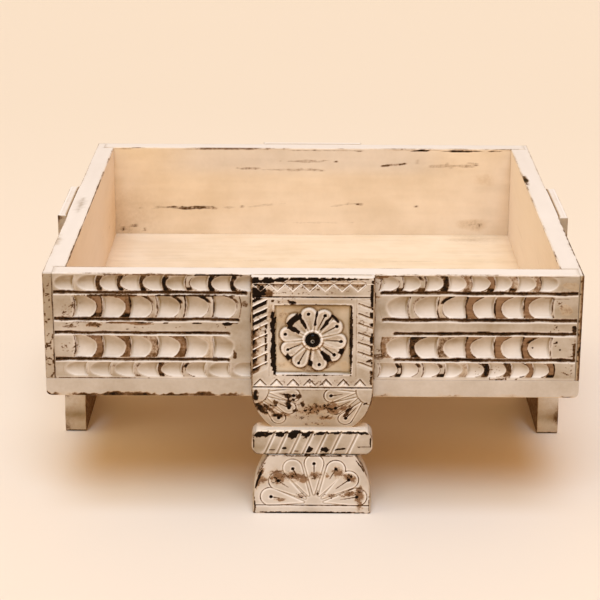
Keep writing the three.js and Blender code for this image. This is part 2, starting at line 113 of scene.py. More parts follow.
def patchy(x, z, cell_x, cell_z, seed):
    """Unevenness from 0 to 1 in two sizes, for wear that comes and goes."""
    coarse = uneven(x, z, cell_x, cell_z, seed)
    fine = uneven(x, z, cell_x / FINER, cell_z / FINER, seed + 1)
    return np.clip(0.5 + COARSE_SHARE * coarse + FINE_SHARE * fine, 0, 1)


def stations(low, high, step):
    """Evenly spaced values from low to high, at most step apart."""
    count = max(1, math.ceil((high - low) / step - 1e-6))
    return np.linspace(low, high, count + 1)


def scaled(shares, length):
    return [share * length for share in shares]


def quarter(steps):
    """Angles from none to a right angle."""
    return [math.pi / 2 * k / steps for k in range(steps + 1)]


def mirrored(points):
    """Points of a plan mirrored to the other side, in reverse order."""
    return [(-x, y) for x, y in points[::-1]]


def blurred(values, reach):
    """Values averaged over the points up to reach away along both axes."""
    for axis in (0, 1):
        margin = [(reach, reach) if side == axis else (0, 0) for side in (0, 1)]
        padded = np.pad(values, margin, mode="edge")
        shifted = [padded.take(range(k, k + values.shape[axis]), axis) for k in range(2 * reach + 1)]
        values = sum(shifted) / len(shifted)
    return values


def ragged(broken, least, more):
    """An amount that is broken up, from least where broken is 0 to more above that where it is 1."""
    return least + more * broken


def wear_rows(stain, bare, grime, cream):
    """The wear of some points, one row each."""
    return np.column_stack(np.broadcast_arrays(stain, bare, grime, cream))


def spot(x, y, place):
    """1 in the middle of a soft spot, whose middle and width are given along x and along y."""
    return bell_curve(x, *place["x"]) * bell_curve(y, *place["y"])


# Carved faces

# What each point of a face keeps: how deep it is cut, how stained and how bare it is, how fresh its
# paint is, a layer that also carries painted highlights and painted shade, and how creamy
LAYERS = ("depth", "stain", "bare", "fresh", "cream")
BLUR = 3
# How far a full hollow lies below its surroundings and a full edge above them, and a hollow's stain
HOLLOW_DEPTH, EDGE_HEIGHT, HOLLOW_STAIN = 0.5, 0.3, 0.1


class Face:
    """A face with rows of one height each, which is carved and then worn."""

    def __init__(self, x, z):
        self.x, self.z = np.broadcast_arrays(x, z)
        for layer in LAYERS:
            setattr(self, layer, np.zeros(self.x.shape))

    def part(self, rows, columns=slice(None)):
        """A part of the face, which shares its values with the whole."""
        made = Face.__new__(Face)
        for name in ("x", "z", *LAYERS):
            setattr(made, name, getattr(self, name)[rows, columns])
        return made

    def band(self, low, high):
        """The part between two heights."""
        return self.part(slice(*np.searchsorted(self.z[:, 0], (low, high))))

    def strip(self, start, end):
        """The part between two values of x, on a face with upright columns."""
        return self.part(slice(None), slice(*np.searchsorted(self.x[0], sorted((start, end)))))

    def add(self, layer, amount):
        values = getattr(self, layer)
        np.maximum(values, amount, out=values)

    def worn(self, grime, soiled, rubbed):
        """Stain, bareness, grime and cream of each point. Hollows are painted darker where the face is
        soiled, as dirt and painted shade, and edges lighter where it has been rubbed, as wear and painted
        highlight."""
        sunk = self.depth - blurred(self.depth, BLUR)
        hollow, edge = np.clip(sunk / HOLLOW_DEPTH, 0, 1), np.clip(-sunk / EDGE_HEIGHT, 0, 1)
        # Painted shade with the dirt in hollows, and painted highlight with the wear on raised edges
        dirt = grime * (1 - self.fresh) + soiled * hollow - rubbed * edge
        stain = self.stain + HOLLOW_STAIN * hollow
        return np.stack([stain, self.bare, np.clip(dirt, 0, 1), self.cream], -1)


# The middle of what random cells can be
CELL_MIDDLE = 0.5
# How far past its own size a mark may reach, how flat the cells that break it are, and how far its
# edge fades outward and inward
MARK_REACH, MARK_MARGIN, CELL_FLATNESS = 1.5, 1.0, 0.7
FADE_OUT, FADE_IN = 0.4, 0.6
# How flat the cells of specks are, between which values they start, and how they thin out
SPECK_FLATNESS, SPECK_START, SPECK_THINNING = 0.8, (0.48, 0.7), 0.32
# Where the haze round them ends and is full, in sizes of the mark
HAZE_EDGE = 1.3, 0.4


def with_tilt(mark):
    """A mark's middle, half width, half height, amount and tilt in degrees, which is left out where 0."""
    return (*mark, 0)[:6]


def daub(face, layer, marks, seed, cell=4.0, rough=0.7, soft=0.35):
    """Wears a patch at each mark, in cells of a size, with a rough and soft edge."""
    for k, mark in enumerate(marks):
        x, z, wide, tall, amount, tilt = with_tilt(mark)
        c, s = math.cos(math.radians(tilt)), math.sin(math.radians(tilt))
        reach = MARK_REACH * max(tall, wide * abs(s)) + MARK_MARGIN
        part = face.band(z - reach, z + reach)
        dx, dz = part.x - x, part.z - z
        away = np.hypot((dx * c + dz * s) / wide, (dz * c - dx * s) / tall)
        away += rough * (patchy(part.x, part.z, cell, CELL_FLATNESS * cell, seed + k) - CELL_MIDDLE)
        part.add(layer, amount * smooth_step(away, 1 + FADE_OUT * soft, 1 - FADE_IN * soft))


def fleck(face, marks, seed, cell=1.3, haze=0.1):
    """Scatters specks of stain, in a haze, which thin out from the middle of each mark."""
    for k, mark in enumerate(marks):
        x, z, wide, tall, amount = mark[:5]
        part = face.band(z - MARK_REACH * tall, z + MARK_REACH * tall)
        away = np.hypot((part.x - x) / wide, (part.z - z) / tall)
        broken = patchy(part.x, part.z, cell, SPECK_FLATNESS * cell, seed + k)
        specks = smooth_step(broken - SPECK_THINNING * away, *SPECK_START)
        part.add("stain", amount * np.maximum(haze * smooth_step(away, *HAZE_EDGE), specks))


# Where a cut's residue ends and is full, as shares of its width, and a dot's as shares of its radius
CUT_EDGE, DOT_EDGE, DOT_STAIN = (0.5, 0.2), (1.2, 0.8), 1.1


def engrave(face, away, width, depth, stain):
    """A V cut where a line is less than half the width away, with dark residue at its bottom."""
    face.add("depth", depth * np.clip(1 - 2 * away / width, 0, 1))
    face.add("stain", stain * smooth_step(away, *scaled(CUT_EDGE, width)))


def along_segment(face, start, end):
    """Each point's distance from a segment, and its share of the way along it."""
    (x0, z0), (x1, z1) = start, end
    span = math.hypot(x1 - x0, z1 - z0)
    ux, uz = (x1 - x0) / span, (z1 - z0) / span
    share = np.clip(((face.x - x0) * ux + (face.z - z0) * uz) / span, 0, 1)
    away = np.hypot(face.x - x0 - share * span * ux, face.z - z0 - share * span * uz)
    return away, share


# How stained a broken line is at least and how much more it may be, and its cells
LINE_STAINED, LINE_CELLS = (0.55, 0.6), (7, 5)


def cut_line(face, start, end, width, depth, stain, seed=0):
    low, high = sorted((start[1], end[1]))
    part = face.band(low - width, high + width)
    away, _ = along_segment(part, start, end)
    broken = patchy(part.x, part.z, *LINE_CELLS, seed)
    engrave(part, away, width, depth, stain * ragged(broken, *LINE_STAINED))


def cut_dot(face, place, radius, depth):
    part = face.band(place[1] - 2 * radius, place[1] + 2 * radius)
    away = np.hypot(part.x - place[0], part.z - place[1]) / radius
    part.depth += depth * np.clip(1 - away ** 3, 0, 1)
    part.add("stain", DOT_STAIN * smooth_step(away, *DOT_EDGE))


def petal_distance(face, foot, degrees, narrow, wide, length):
    """Signed distance to a petal that widens from a narrow round foot to a wide round end, the
    distance from its middle line, and the distance along it."""
    angle = math.radians(degrees)
    dx, dz = face.x - foot[0], face.z - foot[1]
    along = dx * math.cos(angle) + dz * math.sin(angle)
    across = np.abs(dz * math.cos(angle) - dx * math.sin(angle))
    lean = (narrow - wide) / length
    rise = math.sqrt(1 - lean * lean)
    place = along * rise - across * lean
    flank = across * rise + along * lean - narrow
    at_foot = np.hypot(across, along) - narrow
    at_end = np.hypot(across, along - length) - wide
    distance = np.where(place < 0, at_foot, np.where(place > rise * length, at_end, flank))
    return distance, across, along


def polar(centre, radius, degrees):
    angle = math.radians(degrees)
    return centre[0] + radius * math.cos(angle), centre[1] + radius * math.sin(angle)


# How strong a mark is on another side, against the same one on the front
FADED = 0.5, 1.05


def varied(marks, rng, reach_x, reach_z):
    """Marks for a side that isn't seen in the photograph: the front's, moved and some mirrored."""
    made = []
    for mark in marks:
        x, z, wide, tall, amount, tilt = with_tilt(mark)
        way = rng.choice((-1, 1))
        place = way * x + rng.normal(0, reach_x), z + rng.normal(0, reach_z)
        made.append((*place, wide, tall, amount * rng.uniform(*FADED), way * tilt))
    return made


# Grooves along the walls, each a steep upper side over a long lower bevel

GROOVE_DEPTH = 2.0
GROOVE_ABOVE, GROOVE_BELOW = 0.9, 2.1
GROOVE_WANDER = 0.35
# How long the groove's end tapers, and how far it drops there
GROOVE_END, GROOVE_DROP = 4.0, 0.6
# Its residue's half thickness and darkness, each with how much it varies, and the painted highlight on
# the lit bevel below it as how fresh its paint is made, how far down and how wide
RESIDUE_THICK, RESIDUE_DARK = (1.65, 0.3), (0.66, 0.12)
GROOVE_HIGHLIGHT = 0.5, -2.1, 0.5
# Over which length, and with which step of the seed, its height, depth and residue's width and darkness
# vary, and how far below its line the residue lies
HEIGHT_VARIES, DEPTH_VARIES, WIDTH_VARIES, DARK_VARIES = (14, 0), (23, 1), (6, 2), (17, 3)
RESIDUE_BELOW = 0.05
# Where its residue ends and is full, in half thicknesses, and how its depth varies and fades at the end
RESIDUE_EDGE, GROOVE_VARIES, DEPTH_FADE, RESIDUE_FADE = (1.5, 0.4), (0.9, 0.2), 1.6, 2
GROOVE_HEIGHTS = (174.5, 153.6, 142.8, 122.0)
# How far each groove stops from the leg, to the left and to the right of it
GROOVE_GAPS = {-1: (1.4, 7.4, 14.4, 14.9), 1: (2.9, 4.5, 13.2, 13.7)}
# How much higher than that the cuts to the left and to the right of the leg lie
LIFTS = {-1: 0.3, 1: 0.8}


def carve_groove(face, side, height, gap, seed):
    def vary(cell, k):
        return uneven(face.x, 0, cell, 1, seed + k)

    taper = smooth_step(side * face.x - LEG_HALF - gap, 0, GROOVE_END)
    above = face.z - (height - GROOVE_DROP * (1 - taper) + GROOVE_WANDER * vary(*HEIGHT_VARIES))
    vee = np.where(above > 0, 1 - above / GROOVE_ABOVE, 1 + above / GROOVE_BELOW)
    reach = np.clip(DEPTH_FADE * taper, 0, 1) * ragged(vary(*DEPTH_VARIES), *GROOVE_VARIES)
    face.add("depth", GROOVE_DEPTH * np.clip(vee, 0, 1) * reach)
    thick = ragged(vary(*WIDTH_VARIES), *RESIDUE_THICK)
    dark = ragged(vary(*DARK_VARIES), *RESIDUE_DARK)
    dark = dark * smooth_step(np.abs(above + RESIDUE_BELOW) / thick, *RESIDUE_EDGE)
    face.add("stain", dark * np.clip(RESIDUE_FADE * taper, 0, 1))
    # Painted highlight along the lit lower bevel of the groove
    fresh, down, wide = GROOVE_HIGHLIGHT
    face.add("fresh", fresh * bell_curve(above, down, wide) * taper)


# Gouge scoops, each from an upright stop cut to a round tip. In the small ones the stops face the leg,
# and in the large ones the corner. The tip's outline is blunt where its power is high.

LARGE = {
    "way": -1, "depth": 3.0, "bow": 1.3, "above": 2.0, "below": 5.0, "spread": 1.15, "gap": 4.3,
    "dark": (0.25, 0.5),
}
SMALL = {
    "way": 1, "depth": 2.2, "bow": 1.5, "above": 4.2, "below": 3.0, "spread": 1.1, "gap": 2.9,
    "dark": (0.84, 0.96),
}
SHALLOW = {**SMALL, "depth": 1.7}
ROWS = ((187.5, 175.6, SMALL), (171.8, 154.8, LARGE), (140.4, 123.2, LARGE), (119.4, 108.2, SHALLOW))
# For each row, from top to bottom: the first stop's distance from the corner, the pitch and the number
STOPS = {
    -1: ((23.7, 16.64, 9), (22.4, 20.6, 6), (22.1, 20.6, 6), (31.9, 17.8, 8)),
    1: ((32.9, 16.88, 8), (21.8, 21.25, 6), (21.5, 21.1, 6), (36.1, 16.4, 8)),
}
# The front's crescents between two scoops, row by row and from the corner to the leg. Each has, in
# tenths, how bare it is and how stained it is all over, at its top and at its bottom.
CRESCENTS = {
    -1: (
        ((0, 0, 0, 0), (1, 1, 0, 0), (6, 7, 0, 9), (6, 7, 0, 9), (4, 8, 3, 9), (2, 10, 3, 9),
         (0, 1, 0, 9), (0, 10, 0, 9), (0, 10, 0, 9)),
        ((9, 2, 5, 9), (10, 4, 4, 10), (0, 2, 8, 3), (0, 1, 10, 0), (0, 1, 10, 1), (0, 1, 7, 2)),
        ((9, 3, 3, 5), (8, 5, 5, 3), (5, 4, 3, 3), (8, 5, 3, 5), (3, 2, 3, 0), (0, 0, 0, 0)),
        ((0, 0, 0, 0), (1, 1, 2, 0), (1, 1, 4, 2), (1, 4, 5, 5), (2, 6, 3, 8), (1, 2, 8, 0),
         (0, 1, 2, 0), (0, 2, 0, 0)),
    ),
    1: (
        ((1, 0, 1, 0), (5, 2, 2, 2), (5, 2, 5, 8), (10, 1, 0, 9), (5, 3, 3, 5), (6, 8, 5, 9),
         (0, 2, 7, 9), (0, 0, 0, 8)),
        ((10, 1, 5, 0), (10, 1, 3, 0), (10, 2, 3, 3), (3, 0, 10, 0), (0, 0, 6, 0), (0, 0, 0, 0)),
        ((9, 3, 6, 1), (9, 3, 2, 3), (10, 3, 2, 3), (3, 5, 4, 1), (0, 9, 1, 3), (6, 0, 0, 0)),
        ((10, 1, 2, 9), (10, 2, 2, 1), (4, 6, 5, 3), (2, 8, 3, 4), (3, 3, 4, 2), (0, 0, 10, 10),
         (0, 1, 7, 0), (0, 0, 8, 9)),
    ),
}
TENTH = 0.112
SCOOP_CLEAN = {-1: 0.13, 1: 0.24}
# How much darker a scoop's clean paint is made towards its top and lighter towards its bottom, as
# painted shade and painted light, and how uneven its outline is
SCOOP_PAINTED_SHADE, SCOOP_WANDER = 0.48, 0.3
# How far past its pitch a scoop's marks reach, how round its hollow is, and how high its row is cut
SCOOP_MARGIN, SCOOP_ROUNDNESS, ROW_EDGE = 3, 0.85, (1.04, 0.95)
# Over which heights the tip's power changes, and what keeps its slope and its run above zero
POWER_FROM, LEAST_STEEP, LEAST_RUN = (-0.8, 0.8), 0.08, 1e-3
# Where the hollow and the paint in it start behind the stop, and the paint inside the outline
HOLLOW_FROM, PAINT_FROM, PAINT_EDGE = (-0.15, 0.35), (0, 0.3), (-0.4, 0.4)
# Where a line at a tip or stop runs, and how wide it is, and where the painted highlight on the lit
# edge just past a stop runs, and how wide it is
TIP_LINE, STOP_LINE, STOP_HIGHLIGHT = (-0.2, 0.45), (-0.45, 0.6), (0.25, 0.3)
# How strong that painted highlight is, and where along the scoop the line round its tip starts
STOP_HIGHLIGHT_STRENGTH, TIP_START = 0.8, (0.3, 0.6)
# A crescent's cells, where it starts outside the scoop's outline and how far from the next stop it
# ends, and where the stain at its low and its high end starts and how far out the latter reaches
CRESCENT_CELLS, CRESCENT_EDGE, CRESCENT_END = (5, 4), (0.1, -0.3), 0.5
LOW_END, HIGH_END, HIGH_REACH = (-0.35, -0.7), (0.1, 0.5), (-3.4, -1.2)
# How broken up its bare wood, its stain all over and at its ends, and the lines are
BARE_BROKEN, BODY_BROKEN, LOW_BROKEN, HIGH_BROKEN = (0.8, 0.4), (0.6, 0.6), (0.6, 0.6), (0.5, 0.75)
LINE_BROKEN = 0.3, 0.9
# How dark the lines at the tip and at the stop are at least, and more with a dark crescent
TIP_DARK, STOP_DARK = (0.15, 0.75), (0.3, 0.75)
# How much a crescent's stain at its top and at its bottom counts in that
TOP_COUNTS, BOTTOM_COUNTS = 0.9, 0.8


def carve_scoop(face, kind, stop, way, middle, height, gap, pitch, crescent, clean, seed):
    """way is 1 or -1, towards the tip. gap is the flat left between the tip and the next stop."""
    length = pitch - gap
    part = face.strip(stop - SCOOP_MARGIN * way, stop + way * (pitch + SCOOP_MARGIN))
    up = 2 * (part.z - middle) / height
    along = (part.x - stop) * way - kind["bow"] * (1 - up * up)
    along += SCOOP_WANDER * uneven(part.x, part.z, 5, 5, seed)
    power = kind["below"] + (kind["above"] - kind["below"]) * smooth_step(up, *POWER_FROM)
    run = np.clip(along / length, LEAST_RUN, None)
    across = up / kind["spread"]
    shape = 1 - run ** power - across ** 2
    steep = np.hypot(power * run ** (power - 1) / length, 4 * across / (kind["spread"] * height))
    inside = shape / np.clip(steep, LEAST_STEEP, None)
    in_row = smooth_step(np.abs(up), *ROW_EDGE)
    hollow = np.clip(shape, 0, 1) ** SCOOP_ROUNDNESS * smooth_step(along, *HOLLOW_FROM) * in_row
    part.add("depth", kind["depth"] * hollow)
    painted = smooth_step(inside, *PAINT_EDGE) * smooth_step(along, *PAINT_FROM) * in_row
    # Painted shade towards the top of the scoop and painted light towards its bottom, on its clean paint
    part.fresh += painted * (clean - SCOOP_PAINTED_SHADE * up)
    # Painted highlight on the lit edge just past the stop
    part.add("fresh", STOP_HIGHLIGHT_STRENGTH * bell_curve(along, *STOP_HIGHLIGHT) * in_row)

    bare, body, top, bottom = (TENTH * share for share in crescent)
    broken = patchy(part.x, part.z, *CRESCENT_CELLS, seed + 2)
    towards_tip = smooth_step(along, *scaled(kind["dark"], length))
    before_stop = smooth_step(along, pitch, pitch - CRESCENT_END)
    flat = smooth_step(inside, *CRESCENT_EDGE) * towards_tip * before_stop * in_row
    part.add("bare", bare * flat * ragged(broken, *BARE_BROKEN))
    all_over = body * ragged(broken, *BODY_BROKEN)
    low = bottom * smooth_step(up, *LOW_END) * ragged(broken, *LOW_BROKEN)
    high = top * smooth_step(up, *HIGH_END) * smooth_step(inside, *HIGH_REACH)
    high = high * ragged(broken, *HIGH_BROKEN)
    part.add("stain", flat * np.maximum.reduce([all_over, low, high]))
    dark = max(bare, body, TOP_COUNTS * top, BOTTOM_COUNTS * bottom)
    uneven_line = ragged(broken, *LINE_BROKEN) * in_row
    outline = bell_curve(inside, *TIP_LINE) * smooth_step(along, *scaled(TIP_START, length))
    part.add("stain", outline * ragged(dark, *TIP_DARK) * uneven_line)
    part.add("stain", bell_curve(along - pitch, *STOP_LINE) * ragged(dark, *STOP_DARK) * uneven_line)
    return bell_curve(along, *STOP_LINE) * uneven_line, part


# Crescents of the other sides: how bare and how stained they are on average, the spread of both, and
# how stained they may be at an end
DRAWN_MEAN, DRAWN_SPREAD = (5, 3), 3
DRAWN_ENDS = (0, 3, 9)
# The most that either can be, in tenths
TENTHS = 10
# How far a scoop is moved along and up, how tall it is, how wide the flat beside it is, and how much
# wider at the right, and the stain of the last stop in a row
MOVE_ALONG, MOVE_UP, TALL = 0.35, 0.25, (0.97, 1.02)
FLAT, RIGHT_FLAT, LAST_STOP = (0.85, 1.25), 1.3, 0.85


def carve_rows(face, side, front, rng, seed):
    for row, (top, bottom, kind) in enumerate(ROWS):
        first, pitch, count = STOPS[side][row]
        wider = RIGHT_FLAT if side > 0 and kind is not LARGE else 1
        for k in range(count):
            drawn = np.clip(rng.normal(DRAWN_MEAN, DRAWN_SPREAD, len(DRAWN_MEAN)), 0, TENTHS)
            drawn = (*drawn, rng.choice(DRAWN_ENDS), rng.choice(DRAWN_ENDS))
            line, part = carve_scoop(
                face,
                kind,
                side * (HALF - first - k * pitch + rng.uniform(-MOVE_ALONG, MOVE_ALONG)),
                side * kind["way"],
                (top + bottom) / 2 + LIFTS[side] + rng.uniform(-MOVE_UP, MOVE_UP),
                (top - bottom) * rng.uniform(*TALL),
                kind["gap"] * rng.uniform(*FLAT) * wider,
                pitch,
                CRESCENTS[side][row][k] if front else drawn,
                SCOOP_CLEAN[side],
                seed + 1000 * row + 20 * k,
            )
            if k == (0 if kind is LARGE else count - 1):
                part.add("stain", LAST_STOP * line)


# Marks on the front wall besides the crescents: middle, half width, half height, amount and any tilt
WALL_STAINS = (
    (-163, 149.6, 5, 1.6, 0.65), (-128, 150.9, 9, 0.6, 0.9), (-138, 146.0, 1.2, 0.6, 0.9),
    (-110, 150.8, 3, 0.6, 0.85), (-86.5, 150.6, 4, 0.7, 1.0), (-64, 150.3, 4.5, 1.3, 1.1, -8),
    (-58, 150.9, 4, 0.4, 0.7), (-181, 147.8, 5, 1.3, 0.5), (-150, 150.9, 14, 0.5, 0.6),
    (-172, 151.2, 8, 0.5, 0.5), (-108, 188.3, 40, 0.5, 0.5), (-72, 188.3, 24, 0.6, 0.95),
    (-150, 188.4, 8, 0.4, 0.5), (-95, 172.2, 34, 0.8, 0.8), (-152, 172.2, 22, 0.8, 0.75),
    (127, 144.9, 5, 0.5, 0.85), (194.5, 147.4, 2.2, 3.4, 0.85), (195.2, 131, 1.4, 9, 0.7),
    (60, 188.2, 22, 0.5, 0.6), (120, 188.3, 26, 0.4, 0.35), (168, 188.2, 22, 0.4, 0.5),
    (49, 124.6, 6, 2.6, 0.5), (140, 107.6, 9, 0.7, 0.5, 6), (152, 106.9, 3, 0.6, 0.5, 40),
    (181, 171.2, 12, 0.5, 0.5), (184.5, 131, 0.9, 0.8, 1.1), (194, 126, 5, 0.5, 0.55, 10),
    (164.5, 132, 0.9, 0.8, 1.0), (-50.5, 166, 2.2, 3, 0.5), (190, 112, 4, 0.6, 0.6, -20),
    (-165, 107.3, 38, 0.5, 0.6), (-58, 126, 1.4, 4, 0.7),
)
# Specks that are close together in the middle and thin out, beside the stops and at the corners
WALL_SPECKS = (
    (-178.5, 163.5, 5.5, 9, 0.8), (-183, 158, 7, 6, 0.6), (-178.5, 131.5, 4, 8.5, 0.8),
    (-184, 131.5, 6, 4, 0.55), (-178, 149.4, 12, 2.2, 0.6), (-162, 148.8, 6, 2.6, 0.85),
    (182, 167, 4, 5, 0.6), (181, 137, 3.6, 4, 0.8), (180, 147.2, 5, 3, 0.8), (193, 135, 3.6, 8, 0.7),
    (192, 114, 4, 6, 0.65), (51, 126.5, 5, 7, 0.7), (-100, 147.5, 4, 0.9, 0.7),
    (-126, 147.2, 10, 1.2, 0.6), (142, 107.4, 12, 2.4, 0.95, 6), (50, 184, 4, 4, 0.6),
    (132, 113.5, 9, 5, 0.7), (-66, 148.6, 9, 1.6, 0.7),
)
WALL_BARES = (
    (-140, 151.0, 15, 0.7, 1.0), (-129, 150.0, 10, 1.1, 0.8), (-163, 149.5, 6, 2.0, 0.7),
    (-120, 188.3, 32, 0.6, 0.8), (50, 187.3, 7, 1.2, 0.9), (47, 172, 4, 1.0, 0.6),
    (-140, 171.6, 24, 1.2, 0.7), (98, 188.4, 30, 0.4, 0.5), (188, 163, 5, 4, 0.4),
    (191, 181, 6, 3, 0.35),
)
NAIL_POCKET = {"radius": 2.1, "depth": 1.4, "edge": 0.5, "stain": 0.6}
# How far copied marks and specks are moved along the other walls, and up or down
MARK_SHIFT, SPECK_SHIFT = (30, 0.4), (20, 0.4)
# The cells that break the wall's stains and its bare marks
STAIN_CELL, BARE_CELL = 3.0, 5.0
# How far below and above its level a groove is drawn
GROOVE_BAND = 4, 3
# The dark line beside a leg, partly dirt in the joint and partly painted shadow of the leg, which
# stands proud of the wall, and the fresher paint at the wall's foot and under its rim
LEG_SEAM_AND_SHADOW = {"stain": 0.8, "away": 0.5, "width": 0.7}
FOOT_BAND = {"fresh": 0.3, "tall": 3}
RIM_BAND = {"fresh": 0.9, "low": 1.1, "high": 0.5}
# A wall's grime, its clouds, and how much darker its hollows and lighter its edges are painted, as dirt
# and painted shade in the hollows and as wear and painted highlight on the edges
WALL_GRIME, WALL_CLOUDS, WALL_HOLLOW_DIRT_AND_SHADE, WALL_EDGE_WEAR_AND_HIGHLIGHT = 0.72, 0.1, 0.25, 0.15
# How deep the shallow unevenness is, and how far it fades out before the leg
WALL_WAVES, WAVE_FADE = 0.12, 0.5
# Cells of the wall's waves and clouds, and lengths over which the seam and the band under the rim change
WALL_WAVE_CELLS, WALL_CLOUD_CELLS, SEAM_LENGTH, BAND_LENGTH = (31, 9), (26, 6), 9, 20


def carve_wall(face, front, nails, seed):
    rng = np.random.default_rng(seed)
    x, z = face.x, face.z
    for side in (-1, 1):
        for k, height in enumerate(GROOVE_HEIGHTS):
            level, gap = height + LIFTS[side], GROOVE_GAPS[side][k]
            band = face.band(level - GROOVE_BAND[0], level + GROOVE_BAND[1])
            carve_groove(band, side, level, gap, seed + 40 * k + side)
        carve_rows(face, side, front, rng, seed + 100 * side)
    stains, bares, specks = WALL_STAINS, WALL_BARES, WALL_SPECKS
    if not front:
        stains, bares = varied(stains, rng, *MARK_SHIFT), varied(bares, rng, *MARK_SHIFT)
        specks = varied(specks, rng, *SPECK_SHIFT)
    daub(face, "stain", stains, seed + 300, STAIN_CELL)
    daub(face, "bare", bares, seed + 400, BARE_CELL)
    fleck(face, specks, seed + 500)
    # Dark line beside the leg: dirt in the joint, and painted shadow of the leg
    beside_leg = bell_curve(np.abs(x), LEG_HALF + LEG_SEAM_AND_SHADOW["away"], LEG_SEAM_AND_SHADOW["width"])
    face.add("stain", LEG_SEAM_AND_SHADOW["stain"] * beside_leg * patchy(0, z, 1, SEAM_LENGTH, seed + 11))
    face.add("fresh", FOOT_BAND["fresh"] * smooth_step(z, WALL_FOOT + FOOT_BAND["tall"], WALL_FOOT))
    under_rim = smooth_step(z, RIM - RIM_BAND["low"], RIM - RIM_BAND["high"])
    face.add("fresh", RIM_BAND["fresh"] * under_rim * patchy(x, 0, BAND_LENGTH, 1, seed + 12))
    for nail_x, nail_z in nails:
        away = np.hypot(x - nail_x, z - nail_z)
        pocket = smooth_step(away, NAIL_POCKET["radius"], NAIL_POCKET["radius"] - NAIL_POCKET["edge"])
        face.add("depth", NAIL_POCKET["depth"] * pocket)
        face.add("stain", NAIL_POCKET["stain"] * pocket)
    outside_leg = smooth_step(np.abs(x), LEG_HALF - WAVE_FADE, LEG_HALF)
    waves = WALL_WAVES * (1 + uneven(x, z, *WALL_WAVE_CELLS, seed + 77))
    face.depth[:] = outside_leg * (face.depth + waves)
    grime = WALL_GRIME + WALL_CLOUDS * uneven(x, z, *WALL_CLOUD_CELLS, seed + 78)
    return face.worn(grime, WALL_HOLLOW_DIRT_AND_SHADE, WALL_EDGE_WEAR_AND_HIGHLIGHT)


# The rosette: raised petals on the floor of a square recess

RECESS = {
    "half": 28.25, "low": 114.0, "top": 167.5, "depth": 2.6, "wander": 0.35, "edge": (-0.45, 0.35),
    "cream": 0.6,
}
ROSETTE = (0.0, 140.75)
ROSETTE_RISE = 2.2
PETAL_ANGLES = (99, 64, 30, -4, -37, -76, -119, -156, 169, 134)
PETAL = {"foot": 4.2, "narrow": 1.6, "wide": 6.6, "length": 14.6, "round": 1.5, "sizes": (0.93, 1.05)}
# A petal's flat top and the lip round it, and the fold along its middle
PETAL_FLAT, PETAL_LIP, LIP_LINE = 0.84, 0.16, (-1.6, 0.9)
FOLD = {"half": 1.2, "growth": 0.16, "depth": 0.55, "start": (0, 4), "end": (3, -2), "outside": (7, 9)}
# The boss under the stud and the ring round it, both from the ring's radius on
STUD_RING = 6.5
BOSS = {"height": 0.85, "edge": (1.6, -0.4)}
RING = {
    "height": 0.45, "line": (0.1, 0.55), "bare": 0.9, "bare line": (1.9, 0.6), "fresh line": (0.4, 0.7),
}
# Dots near the petals' ends and the slits that lead from some to the middle
DOTS = 20.6
DOT = {"shift": 0.8, "radius": 1.25, "sizes": (0.85, 1.1), "depth": 1.6}
SLIT = {"end": 10, "half": 0.55, "depth": 0.8, "stain": 0.85, "paler": 0.7, "edge": (0.7, 0.3)}
# Petals with a slit from the dot towards the middle, and the one without a dot
SLITS = (64, 30, -4, -37, -156, -119)
DOTLESS = 134
# Dark gaps in the rosette: angle, half angle, inner and outer radius
DARK_GAPS = (
    (134, 17, 18.3, 23.3), (119, 4, 9.5, 22), (82, 3, 11, 22), (52, 4, 9, 22.5), (44, 9, 22.3, 24.2),
    (-54, 7, 11, 22), (-25, 5, 21.2, 25.5), (-143, 6, 21.2, 25), (-95, 4, 16.5, 21.5), (151, 5, 11, 21),
)


# The petals' paint and the dark line round them, which is darker below, partly as painted shadow under
# the raised petals
PETAL_FRESH, PETAL_LINE, LINE_STAIN, LINE_SHADOW_BELOW, LINE_SHADOW_HEIGHTS = 0.05, (0.25, 0.3), 0.5, 0.35, (145, 130)
# How far the cells of the recess's edge and of the gaps reach
RECESS_CELL, GAP_CELL = 9, 2.5
# Where that paint ends, and where the dark line starts and ends
PETAL_END, LINE_START, LINE_END, LOWER_HALF = (27, 25), (8, 12), (27, 25.5), (0.25, -3.75)
# How dark and how ragged the gaps are, how far they fade sideways, and inward and outward
GAP_STAIN, GAP_RAGGED, GAP_OUT, GAP_IN = 1.15, 2.5, 1.5, 0.7
GAP_FOOT, GAP_END = (-0.5, 0.8), (0.5, -0.6)
FULL_TURN, HALF_TURN = 360, 180


def ring_line(radius, away_and_width):
    """1 on a circle that is some way outside the stud's ring."""
    away, width = away_and_width
    return bell_curve(radius, STUD_RING + away, width)


